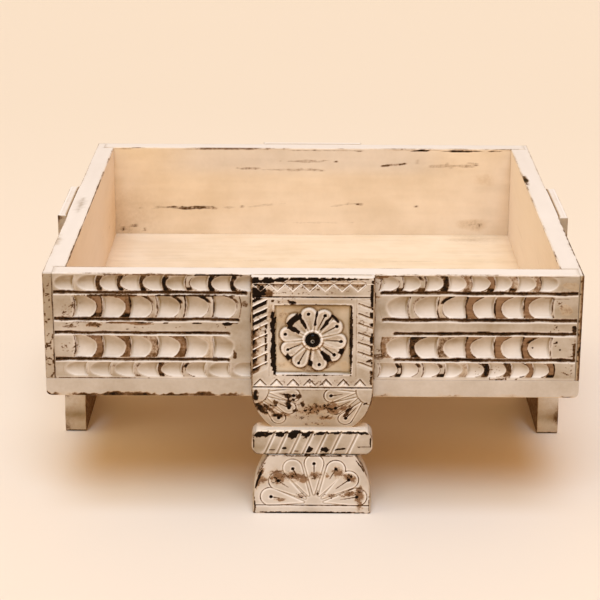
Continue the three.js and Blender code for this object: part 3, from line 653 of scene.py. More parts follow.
def carve_rosette(face, rng, seed):
    x, z = face.x, face.z
    half_tall = (RECESS["top"] - RECESS["low"]) / 2
    up = z - (RECESS["low"] + half_tall)
    inside = np.minimum(RECESS["half"] - np.abs(x), half_tall - np.abs(up))
    inside = inside + RECESS["wander"] * uneven(x, z, RECESS_CELL, RECESS_CELL, seed)
    recess = RECESS["depth"] * smooth_step(inside, *RECESS["edge"])
    raised, fold = np.zeros(x.shape), np.zeros(x.shape)
    length = PETAL["length"]
    for angle in PETAL_ANGLES:
        degrees = angle + rng.uniform(-1, 1)
        foot = polar(ROSETTE, PETAL["foot"], angle)
        wide = PETAL["wide"] * rng.uniform(*PETAL["sizes"])
        away, off, along = petal_distance(face, foot, degrees, PETAL["narrow"], wide, length)
        share = np.clip(-away / PETAL["round"], 0, 1)
        pad = np.sqrt(share * (2 - share)) * (PETAL_FLAT + PETAL_LIP * bell_curve(away, *LIP_LINE))
        sunk = np.clip(1 - off / (FOLD["half"] + FOLD["growth"] * np.clip(along, 0, None)), 0, 1)
        sunk = sunk * smooth_step(along, *(length + past for past in FOLD["end"]))
        fold = np.where(pad > raised, sunk * smooth_step(along, *FOLD["start"]), fold)
        raised = np.maximum(raised, pad)
    radius = np.hypot(x - ROSETTE[0], z - ROSETTE[1])
    boss = smooth_step(radius, *(STUD_RING + past for past in BOSS["edge"]))
    raised = np.maximum(raised, BOSS["height"] * boss)
    folded = FOLD["depth"] * fold * smooth_step(radius, *FOLD["outside"])
    top = ROSETTE_RISE * raised - folded + RING["height"] * ring_line(radius, RING["line"])
    face.add("depth", np.clip(recess - top, 0, None))
    face.fresh += PETAL_FRESH * raised * smooth_step(radius, *PETAL_END)
    face.add("cream", RECESS["cream"] * smooth_step(inside, 0, 1) * (1 - raised))
    for angle in PETAL_ANGLES:
        dot = polar(ROSETTE, DOTS + rng.uniform(-DOT["shift"], DOT["shift"]), angle)
        if angle in SLITS:
            away, share = along_segment(face, dot, polar(ROSETTE, SLIT["end"], angle))
            face.depth += SLIT["depth"] * np.clip(1 - away / SLIT["half"], 0, 1)
            paler = 1 - SLIT["paler"] * share
            face.add("stain", SLIT["stain"] * paler * smooth_step(away, *SLIT["edge"]))
        if angle != DOTLESS:
            cut_dot(face, dot, DOT["radius"] * rng.uniform(*DOT["sizes"]), DOT["depth"])
    turn = np.degrees(np.arctan2(z - ROSETTE[1], x - ROSETTE[0]))
    for angle, half, low, high in DARK_GAPS:
        off = np.abs((turn - angle + HALF_TURN) % FULL_TURN - HALF_TURN)
        off = off + GAP_RAGGED * uneven(x, z, GAP_CELL, GAP_CELL, seed + angle)
        foot = smooth_step(radius, *(low + past for past in GAP_FOOT))
        end = smooth_step(radius, *(high + past for past in GAP_END))
        gap = smooth_step(off, half + GAP_OUT, GAP_IN * half) * foot
        face.add("stain", GAP_STAIN * gap * end)
    around = smooth_step(radius, *LINE_START) * smooth_step(radius, *LINE_END)
    # The dark line round the petals grows darker below, partly as painted shadow under them
    line_stain = LINE_STAIN + LINE_SHADOW_BELOW * smooth_step(z, *LINE_SHADOW_HEIGHTS)
    face.add("stain", bell_curve(raised, *PETAL_LINE) * around * line_stain)
    below_middle = smooth_step(z, *(ROSETTE[1] + past for past in LOWER_HALF))
    face.add("bare", RING["bare"] * ring_line(radius, RING["bare line"]) * below_middle)
    face.add("fresh", ring_line(radius, RING["fresh line"]))


# Chips in a row of points above and below the recess

NOTCHES = 7
UPPER = {
    "first": -38.4, "pitch": 11.93, "base": 184.0, "point": 178.4, "shift": 0.3, "depth": 1.5,
    "arc": 3.1, "arc depth": 1.0,
}
LOWER = {
    "first": -39.2, "pitch": 12.4, "base": 104.4, "point": 109.8, "shift": 0.4, "depth": 1.6,
    "half": 5.0, "sizes": (0.92, 1.08),
}
# Wear of an upper notch: bare wood towards its base, dirt there, its clean ridge, painted light as a
# highlight, and the line in it
NOTCH_BARE, NOTCH_BARE_FROM = 0.58, (0.2, 0.7)
NOTCH_DIRT, NOTCH_DIRT_AT = 0.75, (0.85, 0.3)
RIDGE_HIGHLIGHT, RIDGE_WIDTH = 0.75, 0.5
NOTCH_LINE, NOTCH_LINE_AT = 0.6, (-0.75, 0.35)
# Wear of the shell over it
SHELL_FRESH, SHELL_FROM, SHELL_LINE, SHELL_LINE_WIDTH = 0.25, 0.7, 0.6, 0.16
# How wide a lower notch's steep flank is, and how much shallower its base; then its line and its paint
FLANK, BASE_SHALLOWER = 2.6, 0.5
LOWER_STAIN, LOWER_STAIN_AT = 0.85, (0.1, 0.5)
LOWER_FRESH, LOWER_FRESH_FROM = 0.45, (0.7, 1.4)
# Cells and seed of the dirt, how much wider than the pitch a shell is, and where a lower notch starts
NOTCH_CELLS, SHELL_WIDER, LOWER_EDGE = (3, 2, 5), 0.1, (-0.1, 0.4)
# From where to where, as shares of a notch, the ridge, the line in it and the lower one's line run
RIDGE_RUN, NOTCH_LINE_RUN, LOWER_LINE_RUN = (-0.1, 1.05), (0, 0.95), (-0.05, 0.97)


def within(share, low, high):
    return (share > low) * (share < high)


def notch(face, kind, k, rng):
    """Each point's distance from a notch's middle line, and its share of the way from point to base."""
    off = np.abs(face.x - kind["first"] - k * kind["pitch"] + rng.uniform(-kind["shift"], kind["shift"]))
    return off, (face.z - kind["point"]) / (kind["base"] - kind["point"])


def carve_upper_notches(face, rng):
    """Points that hang from a row of shells."""
    half_pitch = UPPER["pitch"] / 2
    for k in range(NOTCHES):
        off, share = notch(face, UPPER, k, rng)
        edge = (half_pitch * share - off) * (share < 1)
        inside = smooth_step(edge, 0, RIDGE_WIDTH) * (share < 1)
        face.add("depth", UPPER["depth"] * np.clip(share, 0, 1) * inside)
        face.add("bare", NOTCH_BARE * smooth_step(share, *NOTCH_BARE_FROM) * inside)
        dirt = bell_curve(share, *NOTCH_DIRT_AT) * inside * patchy(face.x, face.z, *NOTCH_CELLS)
        face.add("stain", NOTCH_DIRT * dirt)
        # Painted highlight along the notch's lit ridge, which also clears its stain
        ridge = bell_curve(edge, 0, RIDGE_WIDTH) * within(share, *RIDGE_RUN)
        face.add("fresh", RIDGE_HIGHLIGHT * ridge)
        face.stain *= 1 - RIDGE_HIGHLIGHT * ridge
        line = bell_curve(edge, *NOTCH_LINE_AT) * within(share, *NOTCH_LINE_RUN)
        face.add("stain", NOTCH_LINE * line)
        arc = (off / (half_pitch + SHELL_WIDER)) ** 2 + ((face.z - UPPER["base"]) / UPPER["arc"]) ** 2
        in_shell = share >= 1
        face.add("depth", UPPER["arc depth"] * np.sqrt(np.clip(1 - arc, 0, 1)) * in_shell)
        face.add("fresh", SHELL_FRESH * smooth_step(arc, 1, SHELL_FROM) * in_shell)
        face.add("stain", SHELL_LINE * bell_curve(arc, 1, SHELL_LINE_WIDTH) * in_shell)


def carve_lower_notches(face, rng):
    for k in range(NOTCHES):
        off, share = notch(face, LOWER, k, rng)
        edge = LOWER["half"] * rng.uniform(*LOWER["sizes"]) * share - off
        inside = smooth_step(edge, *LOWER_EDGE) * (share < 1)
        shape = np.clip(1 - edge / FLANK, 0, 1) * (1 - BASE_SHALLOWER * np.clip(share, 0, 1))
        face.add("depth", LOWER["depth"] * inside * shape)
        line = bell_curve(edge, *LOWER_STAIN_AT) * within(share, *LOWER_LINE_RUN)
        face.add("stain", LOWER_STAIN * line)
        face.add("fresh", LOWER_FRESH * smooth_step(edge, *LOWER_FRESH_FROM) * (share < 1))


# Hatching at both sides of the recess. Heights are those of its lines' outer ends.

HATCH_INNER = 33.4
LEFT_HATCH = (171.7, 166.1, 159.7, 153.8, 147.6, 139.9, 132.1, 124.7, 117.4, 112.0)
RIGHT_HATCH = (172.9, 165.5, 157.7, 150.4, 142.7, 135.5, 127.7, 119.9, 112.6)
LEFT_RISE, RIGHT_RISE = 6.2, 4.4


# Where the cuts start beside the recess and below the upper line, from nothing to full, and where each
# starts below its ridge and fades before the next
HATCH_SIDE, HATCH_TOP, SLAB_START, SLAB_FADE = (-0.3, 0.4), (-0.6, -1.4), (0.35, 0.8), 0.7
# The cells that bend and break them
HATCH_BEND, HATCH_CELLS = (6, 6), (3.2, 2.6)
# How the cuts wander, how deep they are on either side, and how much of that is left at the least
HATCH_WANDER, LEFT_DEPTH, RIGHT_DEPTH, LEFT_LEAST = 0.25, 1.5, 1.2, 0.15
# On the left: the clean ridge, painted light as a highlight, the painted shade under it, and for the
# upper cuts and the lower ones the dirt on their slopes, all as an amount with the numbers of its shape
LEFT_RIDGE_HIGHLIGHT, LEFT_RIDGE_SHADE = (0.95, 0, 0.45), (0.6, 1.0, 0.6)
UPPER_CUTS, UPPER_DIRT, UPPER_REACH = 4, 1.15, (3.9, 2.9)
LOWER_DIRT, LOWER_BARE, CORNER_DIRT = (0.6, 0.5), (0.6, 0.2, 0.7), (1.1, 1.3, 0.9)
# How ragged that dirt is, and where it changes: outward, and on the lower cuts also down the slope
UPPER_RAGGED, UPPER_OUT, LOWER_RAGGED, LOWER_OUT = 1.8, (0.02, 0.1), 0.35, (0.45, 0.85)
LOWER_SLOPE, CORNER_FROM = (0.7, 0.2), 0.6
# On the right: the dark line, the clean slope, painted light as a highlight, and the dirt at the outer
# ends
RIGHT_LINE, RIGHT_LINE_STAIN, RIGHT_SLOPE_HIGHLIGHT = (0.35, 0.5), (0.5, 0.6), (0.5, 2.0, 1.0)
WEDGE_STAIN, WEDGE_FROM = 1.2, (0.68, 0.85)
# The share of a cut's height over which its depth fades, and where that dirt starts down the slope and
# in the random cells
RIGHT_SHARE, WEDGE_SLOPE, WEDGE_BROKEN = 0.6, (0.45, 0.7), (0.25, 0.5)


def carve_left_hatching(face, k, under, deep, slab, shown, out, broken):
    face.add("depth", LEFT_DEPTH * slab * np.clip(1 - under / deep, LEFT_LEAST, 1))
    # Painted highlight on the ridge, then painted shade under it
    amount, *shape = LEFT_RIDGE_HIGHLIGHT
    face.add("fresh", amount * bell_curve(under, *shape) * shown)
    amount, *shape = LEFT_RIDGE_SHADE
    face.add("stain", amount * bell_curve(under, *shape) * slab * broken)
    if k < UPPER_CUTS:
        far, near = UPPER_REACH
        band = smooth_step(under, far + UPPER_RAGGED * (broken - CELL_MIDDLE), near)
        face.add("stain", UPPER_DIRT * slab * band * smooth_step(out, *UPPER_OUT))
        return
    dirt = smooth_step(out + LOWER_RAGGED * (broken - CELL_MIDDLE), *LOWER_OUT)
    down_slope = smooth_step(under, *scaled(LOWER_SLOPE, deep))
    face.add("stain", slab * dirt * ragged(down_slope, *LOWER_DIRT))
    amount, *ends = LOWER_BARE
    face.add("bare", amount * slab * smooth_step(out, *ends))
    amount, away, width = CORNER_DIRT
    corner = bell_curve(-face.x, HATCH_INNER + away, width) * (broken > CORNER_FROM)
    face.add("stain", amount * slab * corner)


def carve_right_hatching(face, under, deep, slab, shown, out, broken):
    face.add("depth", RIGHT_DEPTH * slab * np.clip(1 - under / (RIGHT_SHARE * deep), 0, 1))
    face.add("stain", bell_curve(under, *RIGHT_LINE) * shown * ragged(broken, *RIGHT_LINE_STAIN))
    # Painted highlight on the lit slope below each line
    amount, *shape = RIGHT_SLOPE_HIGHLIGHT
    face.add("fresh", amount * bell_curve(under, *shape) * slab)
    wedge = smooth_step(out, *WEDGE_FROM) * smooth_step(under, *scaled(WEDGE_SLOPE, deep)) * slab
    face.add("stain", WEDGE_STAIN * wedge * smooth_step(broken, *WEDGE_BROKEN))


def carve_hatching(face, rng, seed):
    x, z = face.x, face.z
    for side, heights, rise in ((-1, LEFT_HATCH, LEFT_RISE), (1, RIGHT_HATCH, RIGHT_RISE)):
        out = np.clip((side * x - HATCH_INNER) / (LEG_HALF - HATCH_INNER), 0, 1)
        shown = smooth_step(side * x, *(HATCH_INNER + past for past in HATCH_SIDE))
        shown = shown * smooth_step(z, *(UPPER_LINE + past for past in HATCH_TOP))
        for k in range(len(heights) - 1):
            bend = HATCH_WANDER * uneven(x, z, *HATCH_BEND, seed + k)
            under = heights[k] + rise * (1 - out) - z + bend
            deep = heights[k] - heights[k + 1]
            slab = smooth_step(under, *SLAB_START) * smooth_step(under, deep, deep - SLAB_FADE) * shown
            broken = patchy(x, z, *HATCH_CELLS, seed + 20 + k)
            if side < 0:
                carve_left_hatching(face, k, under, deep, slab, shown, out, broken)
            else:
                carve_right_hatching(face, under, deep, slab, shown, out, broken)


# Fans of petals in thin cuts, on the bell and on the foot

LINE = {"width": 1.45, "depth": 1.0}
FAN_LINE = {"width": 1.1, "depth": 0.65}
UPPER_LINE, LOWER_LINE, PLINTH_LINE = 174.0, 102.9, 6.8
FOOT_FAN = {
    "centre": (1.6, 8.0), "angles": (10, 37, 60, 90, 119, 145, 170), "dots": 33.2, "end": 7.5, "foot": 8,
}
BELL_FAN = {"dots": 31.4, "end": 5.5, "foot": 13.5}
BELL_FANS = (
    {**BELL_FAN, "centre": (45.0, 101.0), "angles": (188.6, 209, 231)},
    {**BELL_FAN, "centre": (-45.0, 101.0), "angles": (351.4, 331, 309)},
)
BELL_DISC = 12.4
# The petals' narrow feet and how much their lengths differ
FAN_FOOT, FAN_SHIFT = 0.9, 0.7
# A petal's outline: how dark it is at its foot and towards its end, and the painted highlight along
# its inside
FAN_DARK, FAN_DARKER, FAN_DARKER_FROM, FAN_HIGHLIGHT, FAN_HIGHLIGHT_AT = 0.32, 0.3, 0.7, 0.45, (-0.95, 0.4)
# The cells that break it and the share that they leave, how far it is moved away where it would lie
# under another petal, and up to where the painted highlight shows there
FAN_CELLS, FAN_BROKEN, FAN_HIDDEN, FAN_UNDER, FAN_SEEN = (6, 6), (0.2, 1.0), 3, (-0.3, -0.9), 0.3
FAN_SLIT = {
    "lengths": (8, 13), "depth": 0.6, "half": 0.5, "shallower": 0.7, "stain": 0.8, "paler": 0.5,
    "edge": (0.65, 0.25),
}
FAN_DOT = {"radius": 1.3, "depth": 1.4}


def carve_fan(face, fan, rng, seed):
    broken = ragged(patchy(face.x, face.z, *FAN_CELLS, seed), *FAN_BROKEN)
    length = fan["dots"] - fan["foot"]
    petals = []
    for angle in fan["angles"]:
        foot = polar(fan["centre"], fan["foot"], angle)
        reach = length + rng.uniform(-FAN_SHIFT, FAN_SHIFT)
        petals.append(petal_distance(face, foot, angle, FAN_FOOT, fan["end"], reach))
    for k, (ring, _, along) in enumerate(petals):
        nearest = np.minimum.reduce([petal[0] for j, petal in enumerate(petals) if j != k])
        hidden = FAN_HIDDEN * smooth_step(nearest, *FAN_UNDER)
        dark = FAN_DARK + FAN_DARKER * smooth_step(along, FAN_DARKER_FROM * length, length)
        engrave(face, np.abs(ring) + hidden, FAN_LINE["width"], FAN_LINE["depth"], dark * broken)
        # Painted highlight along the inside of the petal's outline
        face.add("fresh", FAN_HIGHLIGHT * bell_curve(ring, *FAN_HIGHLIGHT_AT) * (hidden < FAN_SEEN))
    for angle in fan["angles"]:
        dot = polar(fan["centre"], fan["dots"], angle)
        end = polar(fan["centre"], fan["dots"] - rng.uniform(*FAN_SLIT["lengths"]), angle)
        away, share = along_segment(face, dot, end)
        shape = np.clip(1 - away / FAN_SLIT["half"], 0, 1) * (1 - FAN_SLIT["shallower"] * share)
        face.depth += FAN_SLIT["depth"] * shape
        paler = 1 - FAN_SLIT["paler"] * share
        face.add("stain", FAN_SLIT["stain"] * smooth_step(away, *FAN_SLIT["edge"]) * paler)
        cut_dot(face, dot, **FAN_DOT)


# Marks on the front leg: middle, half width, half height, amount and any tilt
BLOCK_STAINS = (
    (-42, 186.2, 4.5, 3.2, 1.15), (-33, 186.4, 5.0, 2.8, 1.15), (-24, 187.3, 6, 1.5, 1.1),
    (-10, 187.8, 12, 1.2, 1.05), (5, 187.7, 8, 1.5, 1.0), (22, 187.9, 14, 0.9, 0.95),
    (-40.5, 178.2, 6.2, 4.4, 1.2), (-33, 177, 3.4, 2.6, 0.55), (38, 188, 8, 0.5, 0.6),
    (43.9, 176, 1.4, 11, 1.15), (43.5, 160.4, 1.7, 2.2, 1.1), (43.7, 153, 1.3, 1.6, 1.0),
    (43.8, 140.5, 1.3, 2.6, 1.0), (43.9, 134.5, 1.1, 2.6, 0.9), (42.6, 124.4, 2.6, 1.2, 0.95),
    (43.8, 109, 1.2, 5, 0.7), (-29.3, 151, 1.9, 12.5, 1.25), (-29.3, 130, 1.9, 13, 1.25),
    (-28.6, 119, 1.3, 7, 1.15, 5), (-15.5, 169.6, 3.0, 1.2, 1.1), (-29.5, 171, 1.6, 1.0, 0.8),
    (-44.6, 150, 0.9, 30, 0.7), (0, 168.0, 28, 0.6, 0.72), (28.6, 141, 1.2, 26, 0.95),
    (0, 112.9, 27, 0.5, 0.75), (-10, 112.6, 12, 0.5, 0.9), (32.4, 150, 0.5, 18, 0.4),
)
BLOCK_BARES = (
    (-33, 177, 4, 3, 0.9), (-31, 160, 3, 9, 0.45), (0, 170.5, 26, 1.6, 0.22), (-22, 158, 5, 5, 0.4),
    (24, 119, 5, 4, 0.3), (-20, 120, 6, 3, 0.35),
)
BLOCK_SPECKS = (
    (-10, 182, 36, 7, 0.55), (22, 181, 22, 6, 0.5), (-38, 150, 6, 26, 0.5), (40, 146, 6, 30, 0.45),
    (0, 141, 27, 27, 0.35), (-20, 171, 16, 3, 0.6), (0, 107, 44, 5, 0.5),
)
BELL_STAINS = (
    (-42.6, 96, 2.2, 6, 1.0), (-38.2, 85, 2.2, 6.5, 0.9, 38), (-18.4, 95.8, 3.4, 2.4, 0.9, -20),
    (-10, 95.8, 3.2, 2.2, 0.85), (-17.6, 88.8, 2.0, 4.0, 0.95), (-12.8, 83.8, 2.6, 2.0, 0.85, 25),
    (-7.1, 89.5, 1.6, 3.0, 0.8), (-25.4, 79, 5.6, 2.0, 0.9), (-33.5, 86, 1.4, 5.2, 0.75, 40),
    (-30.5, 84, 1.1, 5.2, 0.6, 40), (-27.3, 90.5, 2.0, 2.0, 0.75), (26.3, 82, 1.8, 6, 0.85, -24),
    (29.5, 86, 1.0, 4, 0.7, -40), (40, 90, 2.4, 0.8, 0.8, 25), (-6, 101.2, 34, 0.5, 0.6),
)
BELL_SPECKS = (
    (-3, 84, 12, 5, 1.0, 8), (7, 87.5, 7, 4.6, 1.1), (14.5, 85.5, 6, 5, 1.0), (10, 77.5, 9, 2.4, 0.85),
    (-32, 87, 7, 6, 0.9), (-16, 92, 9, 6, 0.9), (24, 86, 5, 3, 0.9), (2, 72, 16, 2.4, 0.6),
    (-8, 78, 8, 3, 0.7),
)
BELL_BARES = (
    (15.2, 85.5, 6.2, 5.6, 1.0), (24, 86.2, 5, 2.6, 0.8, 18), (2, 85.4, 12, 4.2, 0.78, 12),
    (11, 77, 7, 1.8, 0.8), (-38, 86, 3.4, 7, 0.9, 38), (-32, 86, 6, 6, 0.6), (-24, 79.5, 7, 2.8, 0.75),
    (2, 71, 16, 1.6, 0.3),
)
ROLL_STAINS = (
    (-37, 65.0, 9.4, 2.2, 1.2), (-44.4, 58, 0.9, 5.5, 0.95), (-23, 64.9, 5.0, 2.3, 1.2, 12),
    (-13.2, 64.6, 5.2, 3.0, 1.25, 6), (-3.4, 65.0, 5.2, 2.4, 1.2, 6), (6.5, 65.9, 5.6, 1.2, 1.15),
    (17.3, 66.3, 6.0, 0.9, 1.15), (29, 66.4, 6.6, 0.9, 1.15), (40, 66.3, 5.6, 1.1, 1.15),
    (44.4, 59, 0.9, 6, 1.1), (-21, 54, 1.6, 1.2, 0.95, 20), (-12, 51.5, 2.4, 0.8, 0.7),
    (-2.6, 53, 3.4, 2.3, 1.15), (9, 53, 3.4, 2.3, 1.15), (21.2, 53.3, 4.8, 0.9, 1.0, 8),
    (39, 55.2, 6, 0.5, 0.9), (0, 48.9, 44, 0.6, 0.85), (-30, 52.5, 3, 0.6, 0.7),
)
FOOT_STAINS = (
    (-41.2, 27, 1.1, 9.5, 1.1, -22), (-38.4, 37.5, 0.8, 4.5, 0.7, -35),
    (38.6, 36.5, 0.7, 11.5, 0.9, 34), (0, 0.7, 44, 1.0, 1.0), (-43.6, 5, 0.9, 8, 0.85),
    (43.9, 8, 0.7, 8, 0.7), (0, 47.6, 32, 0.7, 0.7),
)
FOOT_SPECKS = (
    (-27, 29.5, 6, 5.4, 1.1), (-15, 31.5, 6, 4, 1.0), (36, 16, 3, 6, 1.05), (29, 30.5, 5.4, 3.2, 1.1),
    (19.5, 35, 4, 3.6, 1.0), (15, 15, 6, 2.4, 0.9), (-9, 14.5, 6, 2.6, 0.95), (2, 31, 5, 3.4, 0.85),
    (3, 17, 3, 3, 0.8), (-7.5, 31.5, 3, 3.6, 0.9), (28, 17, 6, 2.4, 0.8, 12),
)
FOOT_BARES = (
    (-25.5, 30.5, 7, 5.4, 1.05, -12), (-13.5, 30.6, 7, 3.8, 1.0, -8), (-6.4, 29.2, 3.4, 3.6, 0.95),
    (2.5, 31.2, 5.6, 3.3, 0.8), (11.7, 31.5, 1.8, 2.4, 0.75), (19, 34.4, 4.8, 4.1, 0.95, -30),
    (29, 29.5, 6, 3.0, 0.95, -30), (36.2, 15.5, 3.6, 7.2, 1.05), (28, 16.4, 6.2, 2.3, 0.9, 14),
    (15, 15, 5.6, 1.8, 0.6, 15), (-8, 14.5, 4, 2.2, 0.6), (-25, 11.5, 4.4, 1.6, 0.8),
    (-37, 28, 4.2, 3.4, 0.8), (36.4, 6.3, 2.6, 4.2, 0.8), (-40.5, 28, 2.4, 10, 0.9, -22),
)

ROLL_LOW, ROLL_TOP, BLOCK_FOOT = 48.3, 68.0, 101.5
# Middles of the slanting grooves on the roll, and how far their ends lie to either side
ROLL_CUTS = (-31.6, -22.6, -12.5, -3.1, 7.5, 18.4, 30.8)
ROLL_LEAN = 4.3
ROLL_CUT = {
    "depth": 1.3, "half": 1.2, "shift": 0.3, "edge": (1.6, 1.1), "fresh": 0.35, "closing": 3,
    "end": (ROLL_TOP - 0.8, ROLL_TOP - 0.2), "kept stain": (ROLL_TOP - 1.6, ROLL_TOP - 3),
}
LEG_DEEPEST = 4.6
BLOCK_GRIME, BELL_GRIME, ROLL_GRIME, FOOT_GRIME = 0.64, 0.73, 0.75, 0.53
# The grime's clouds, how much darker hollows and lighter edges are painted (dirt and painted shade,
# wear and painted highlight), and how deep the shallow unevenness is
LEG_CLOUDS, LEG_HOLLOW_DIRT_AND_SHADE, LEG_EDGE_WEAR_AND_HIGHLIGHT, LEG_WAVES = 0.12, 0.4, 0.3, 0.08
# Cells of its clouds, its waves and the discs' lines, and the length over which its bare sides change
LEG_CLOUD_CELLS, LEG_WAVE_CELLS, DISC_CELLS, SIDE_LENGTH = (13, 9), (17, 11), (5, 5), 7
# Marks by part of the leg and layer, and how soft their edges are
LEG_MARKS = (
    ("block", "stain", BLOCK_STAINS, 0.35), ("block", "bare", BLOCK_BARES, 0.9),
    ("bell", "stain", BELL_STAINS, 0.9), ("bell", "bare", BELL_BARES, 1.4),
    ("roll", "stain", ROLL_STAINS, 0.35),
    ("foot", "stain", FOOT_STAINS, 0.5), ("foot", "bare", FOOT_BARES, 1.4),
)
LEG_SPECKS = (("block", BLOCK_SPECKS), ("bell", BELL_SPECKS), ("foot", FOOT_SPECKS))
# The marks' cells and roughness, the specks' cells and haze, and how far both are moved on the other
# legs, along and up or down
LEG_ROUGHNESS, LEG_SPECKLE, LEG_SHIFT = (2.2, 0.8), (1.5, 0.3), (4, 0.8)
# Paint at the tops of the roll and the block and at the bell's foot: how fresh or how creamy it is, and
# how far from the end it starts and is full
TOP_BANDS, TOP_EDGE = (("roll", 0.85), ("top", 0.3)), (1.6, 0.4)
END_BANDS = (
    ("roll", "cream", 0.6, ROLL_TOP - 2.8, ROLL_TOP - 0.8),
    ("bell", "fresh", 0.6, ROLL_TOP + 1.4, ROLL_TOP + 0.2),
    ("bell", "cream", 0.5, ROLL_TOP + 0.8, ROLL_TOP + 0.1),
)
# The line beside the hatching, how far from it and between which heights, the lines across the leg and
# how far off level their ends are, and the bare wood along its sides
SIDE_LINE, SIDE_LINE_AWAY, SIDE_LINE_ENDS = {"width": 0.9, "depth": 0.25, "stain": 0.3}, 1.1, (112, 173)
CROSS_LINES, CROSS_LEAN, PLINTH_LEAN = ((UPPER_LINE, 0.75), (LOWER_LINE, 0.8)), (0.2, -0.1), (0.1, -0.1)
PLINTH_CUT = {"width": 1.1, "depth": 0.7, "stain": 0.75}
DISC_STAIN, SIDE_BARE, SIDE_EDGE = 0.6, 0.7, (1.2, 0.2)


def cut_across(face, height, lean, seed, **cut):
    """A line across the leg, whose left and right end lie a little off its height."""
    left, right = lean
    cut_line(face, (-LEG_HALF, height + left), (LEG_HALF, height + right), **cut, seed=seed)


def carve_leg(face, width, front, seed):
    """width is the half width of the leg at each of the face's rows."""
    rng = np.random.default_rng(seed)
    block, bell = face.band(BLOCK_FOOT, LEG_TOP + 1), face.band(ROLL_TOP, BLOCK_FOOT)
    roll, foot = face.band(ROLL_LOW, ROLL_TOP), face.band(-1, ROLL_LOW)
    top = block.band(UPPER_LINE, LEG_TOP + 1)
    parts = {"block": block, "bell": bell, "roll": roll, "foot": foot, "top": top}
    for k, (part, layer, marks, soft) in enumerate(LEG_MARKS):
        marks = marks if front else varied(marks, rng, *LEG_SHIFT)
        daub(parts[part], layer, marks, seed + 50 * k, *LEG_ROUGHNESS, soft)
    for part, specks in LEG_SPECKS:
        specks = specks if front else varied(specks, rng, *LEG_SHIFT)
        fleck(parts[part], specks, seed + 400, *LEG_SPECKLE)
    carve_upper_notches(top, rng)
    carve_rosette(block.band(RECESS["low"] - 2, RECESS["top"] + 2), rng, seed + 30)
    carve_lower_notches(block.band(LOWER["base"] - 1, LOWER["point"] + 1), rng)
    carve_hatching(block.band(LOWER["point"], UPPER_LINE), rng, seed + 60)
    for side in (-1, 1):
        edge = side * (HATCH_INNER - SIDE_LINE_AWAY)
        cut_line(face, *((edge, z) for z in SIDE_LINE_ENDS), **SIDE_LINE, seed=seed + 61)
    for height, stain in CROSS_LINES:
        cut_across(face, height, CROSS_LEAN, seed + 70, **LINE, stain=stain)
    for fan in BELL_FANS:
        carve_fan(bell, fan, rng, seed + 80)
        disc = np.abs(np.hypot(bell.x - fan["centre"][0], bell.z - fan["centre"][1]) - BELL_DISC)
        stain = DISC_STAIN * patchy(bell.x, bell.z, *DISC_CELLS, seed + 81)
        engrave(bell, disc, **FAN_LINE, stain=stain)
    for middle in ROLL_CUTS:
        middle = middle + rng.uniform(-ROLL_CUT["shift"], ROLL_CUT["shift"])
        away, _ = along_segment(roll, (middle - ROLL_LEAN, ROLL_LOW), (middle + ROLL_LEAN, ROLL_TOP))
        away = away + smooth_step(roll.z, *ROLL_CUT["end"]) * ROLL_CUT["closing"]
        roll.add("depth", ROLL_CUT["depth"] * np.clip(1 - away / ROLL_CUT["half"], 0, 1))
        clean = smooth_step(away, *ROLL_CUT["edge"])
        roll.stain *= 1 - clean * smooth_step(roll.z, *ROLL_CUT["kept stain"])
        roll.add("fresh", ROLL_CUT["fresh"] * clean)
    carve_fan(foot, FOOT_FAN, rng, seed + 90)
    cut_across(face, PLINTH_LINE, PLINTH_LEAN, seed + 95, **PLINTH_CUT)
    for name, amount in TOP_BANDS:
        part = parts[name]
        part.add("fresh", amount * smooth_step(part.z, *(part.z.max() - below for below in TOP_EDGE)))
    for name, layer, amount, low, high in END_BANDS:
        parts[name].add(layer, amount * smooth_step(parts[name].z, low, high))
    side = smooth_step(width - np.abs(face.x), *SIDE_EDGE)
    face.add("bare", SIDE_BARE * side * patchy(0, face.z, 1, SIDE_LENGTH, seed + 110))
    face.depth[:] = np.clip(face.depth, 0, LEG_DEEPEST)
    face.depth += LEG_WAVES * (1 + uneven(face.x, face.z, *LEG_WAVE_CELLS, seed + 120))
    grime = np.full(face.x.shape, BLOCK_GRIME)
    for low, amount in ((BLOCK_FOOT, BELL_GRIME), (ROLL_TOP, ROLL_GRIME), (ROLL_LOW, FOOT_GRIME)):
        grime[face.z < low] = amount
    grime = grime + LEG_CLOUDS * uneven(face.x, face.z, *LEG_CLOUD_CELLS, seed + 121)
    return face.worn(grime, LEG_HOLLOW_DIRT_AND_SHADE, LEG_EDGE_WEAR_AND_HIGHLIGHT)


# Closed shells through rings of points

CAP_STEP = 3.0
# How a full corner and an edge are divided, how many parts a short side has at least, and how far from
# a corner's rounding its points start
CORNER_STEPS, EDGE_STEPS, SIDE_PARTS, CORNER_GAP = 3, 3, 6, 0.3


def turned(places, turns):
    """Places turned about the middle of the table by quarter turns."""
    c, s = ((1, 0), (0, 1), (-1, 0), (0, -1))[turns % 4]
    x, y, z = places.T
    return np.column_stack([c * x - s * y, s * x + c * y, z])


def filled_cap(ring, first):
    """Points spaced over the inside of a flat outline, and the triangles that fill it. The outline's
    points are numbered from first, and the new ones follow them."""
    low, high = ring.min(0), ring.max(0)
    xs = np.arange(low[0] + CAP_STEP, high[0] - 0.5 * CAP_STEP, CAP_STEP)
    ys = np.arange(low[1] + 0.5 * CAP_STEP, high[1] - 0.25 * CAP_STEP, CAP_STEP)
    count = len(ring)
    edges = [(i, (i + 1) % count) for i in range(count)]
    places = [Vector(place) for place in ring] + [Vector((x, y)) for y in ys for x in xs]
    points, _, triangles, origins, _, _ = delaunay_2d_cdt(places, edges, [], 1, 1e-5)
    numbers, extra = [], []
    for point, origin in zip(points, origins):
        own = [k for k in origin if k < count]
        numbers.append(first + (own[0] if own else count + len(extra)))
        if not own:
            extra.append(tuple(point))
    return np.array(extra).reshape(-1, 2), [[numbers[k] for k in triangle] for triangle in triangles]


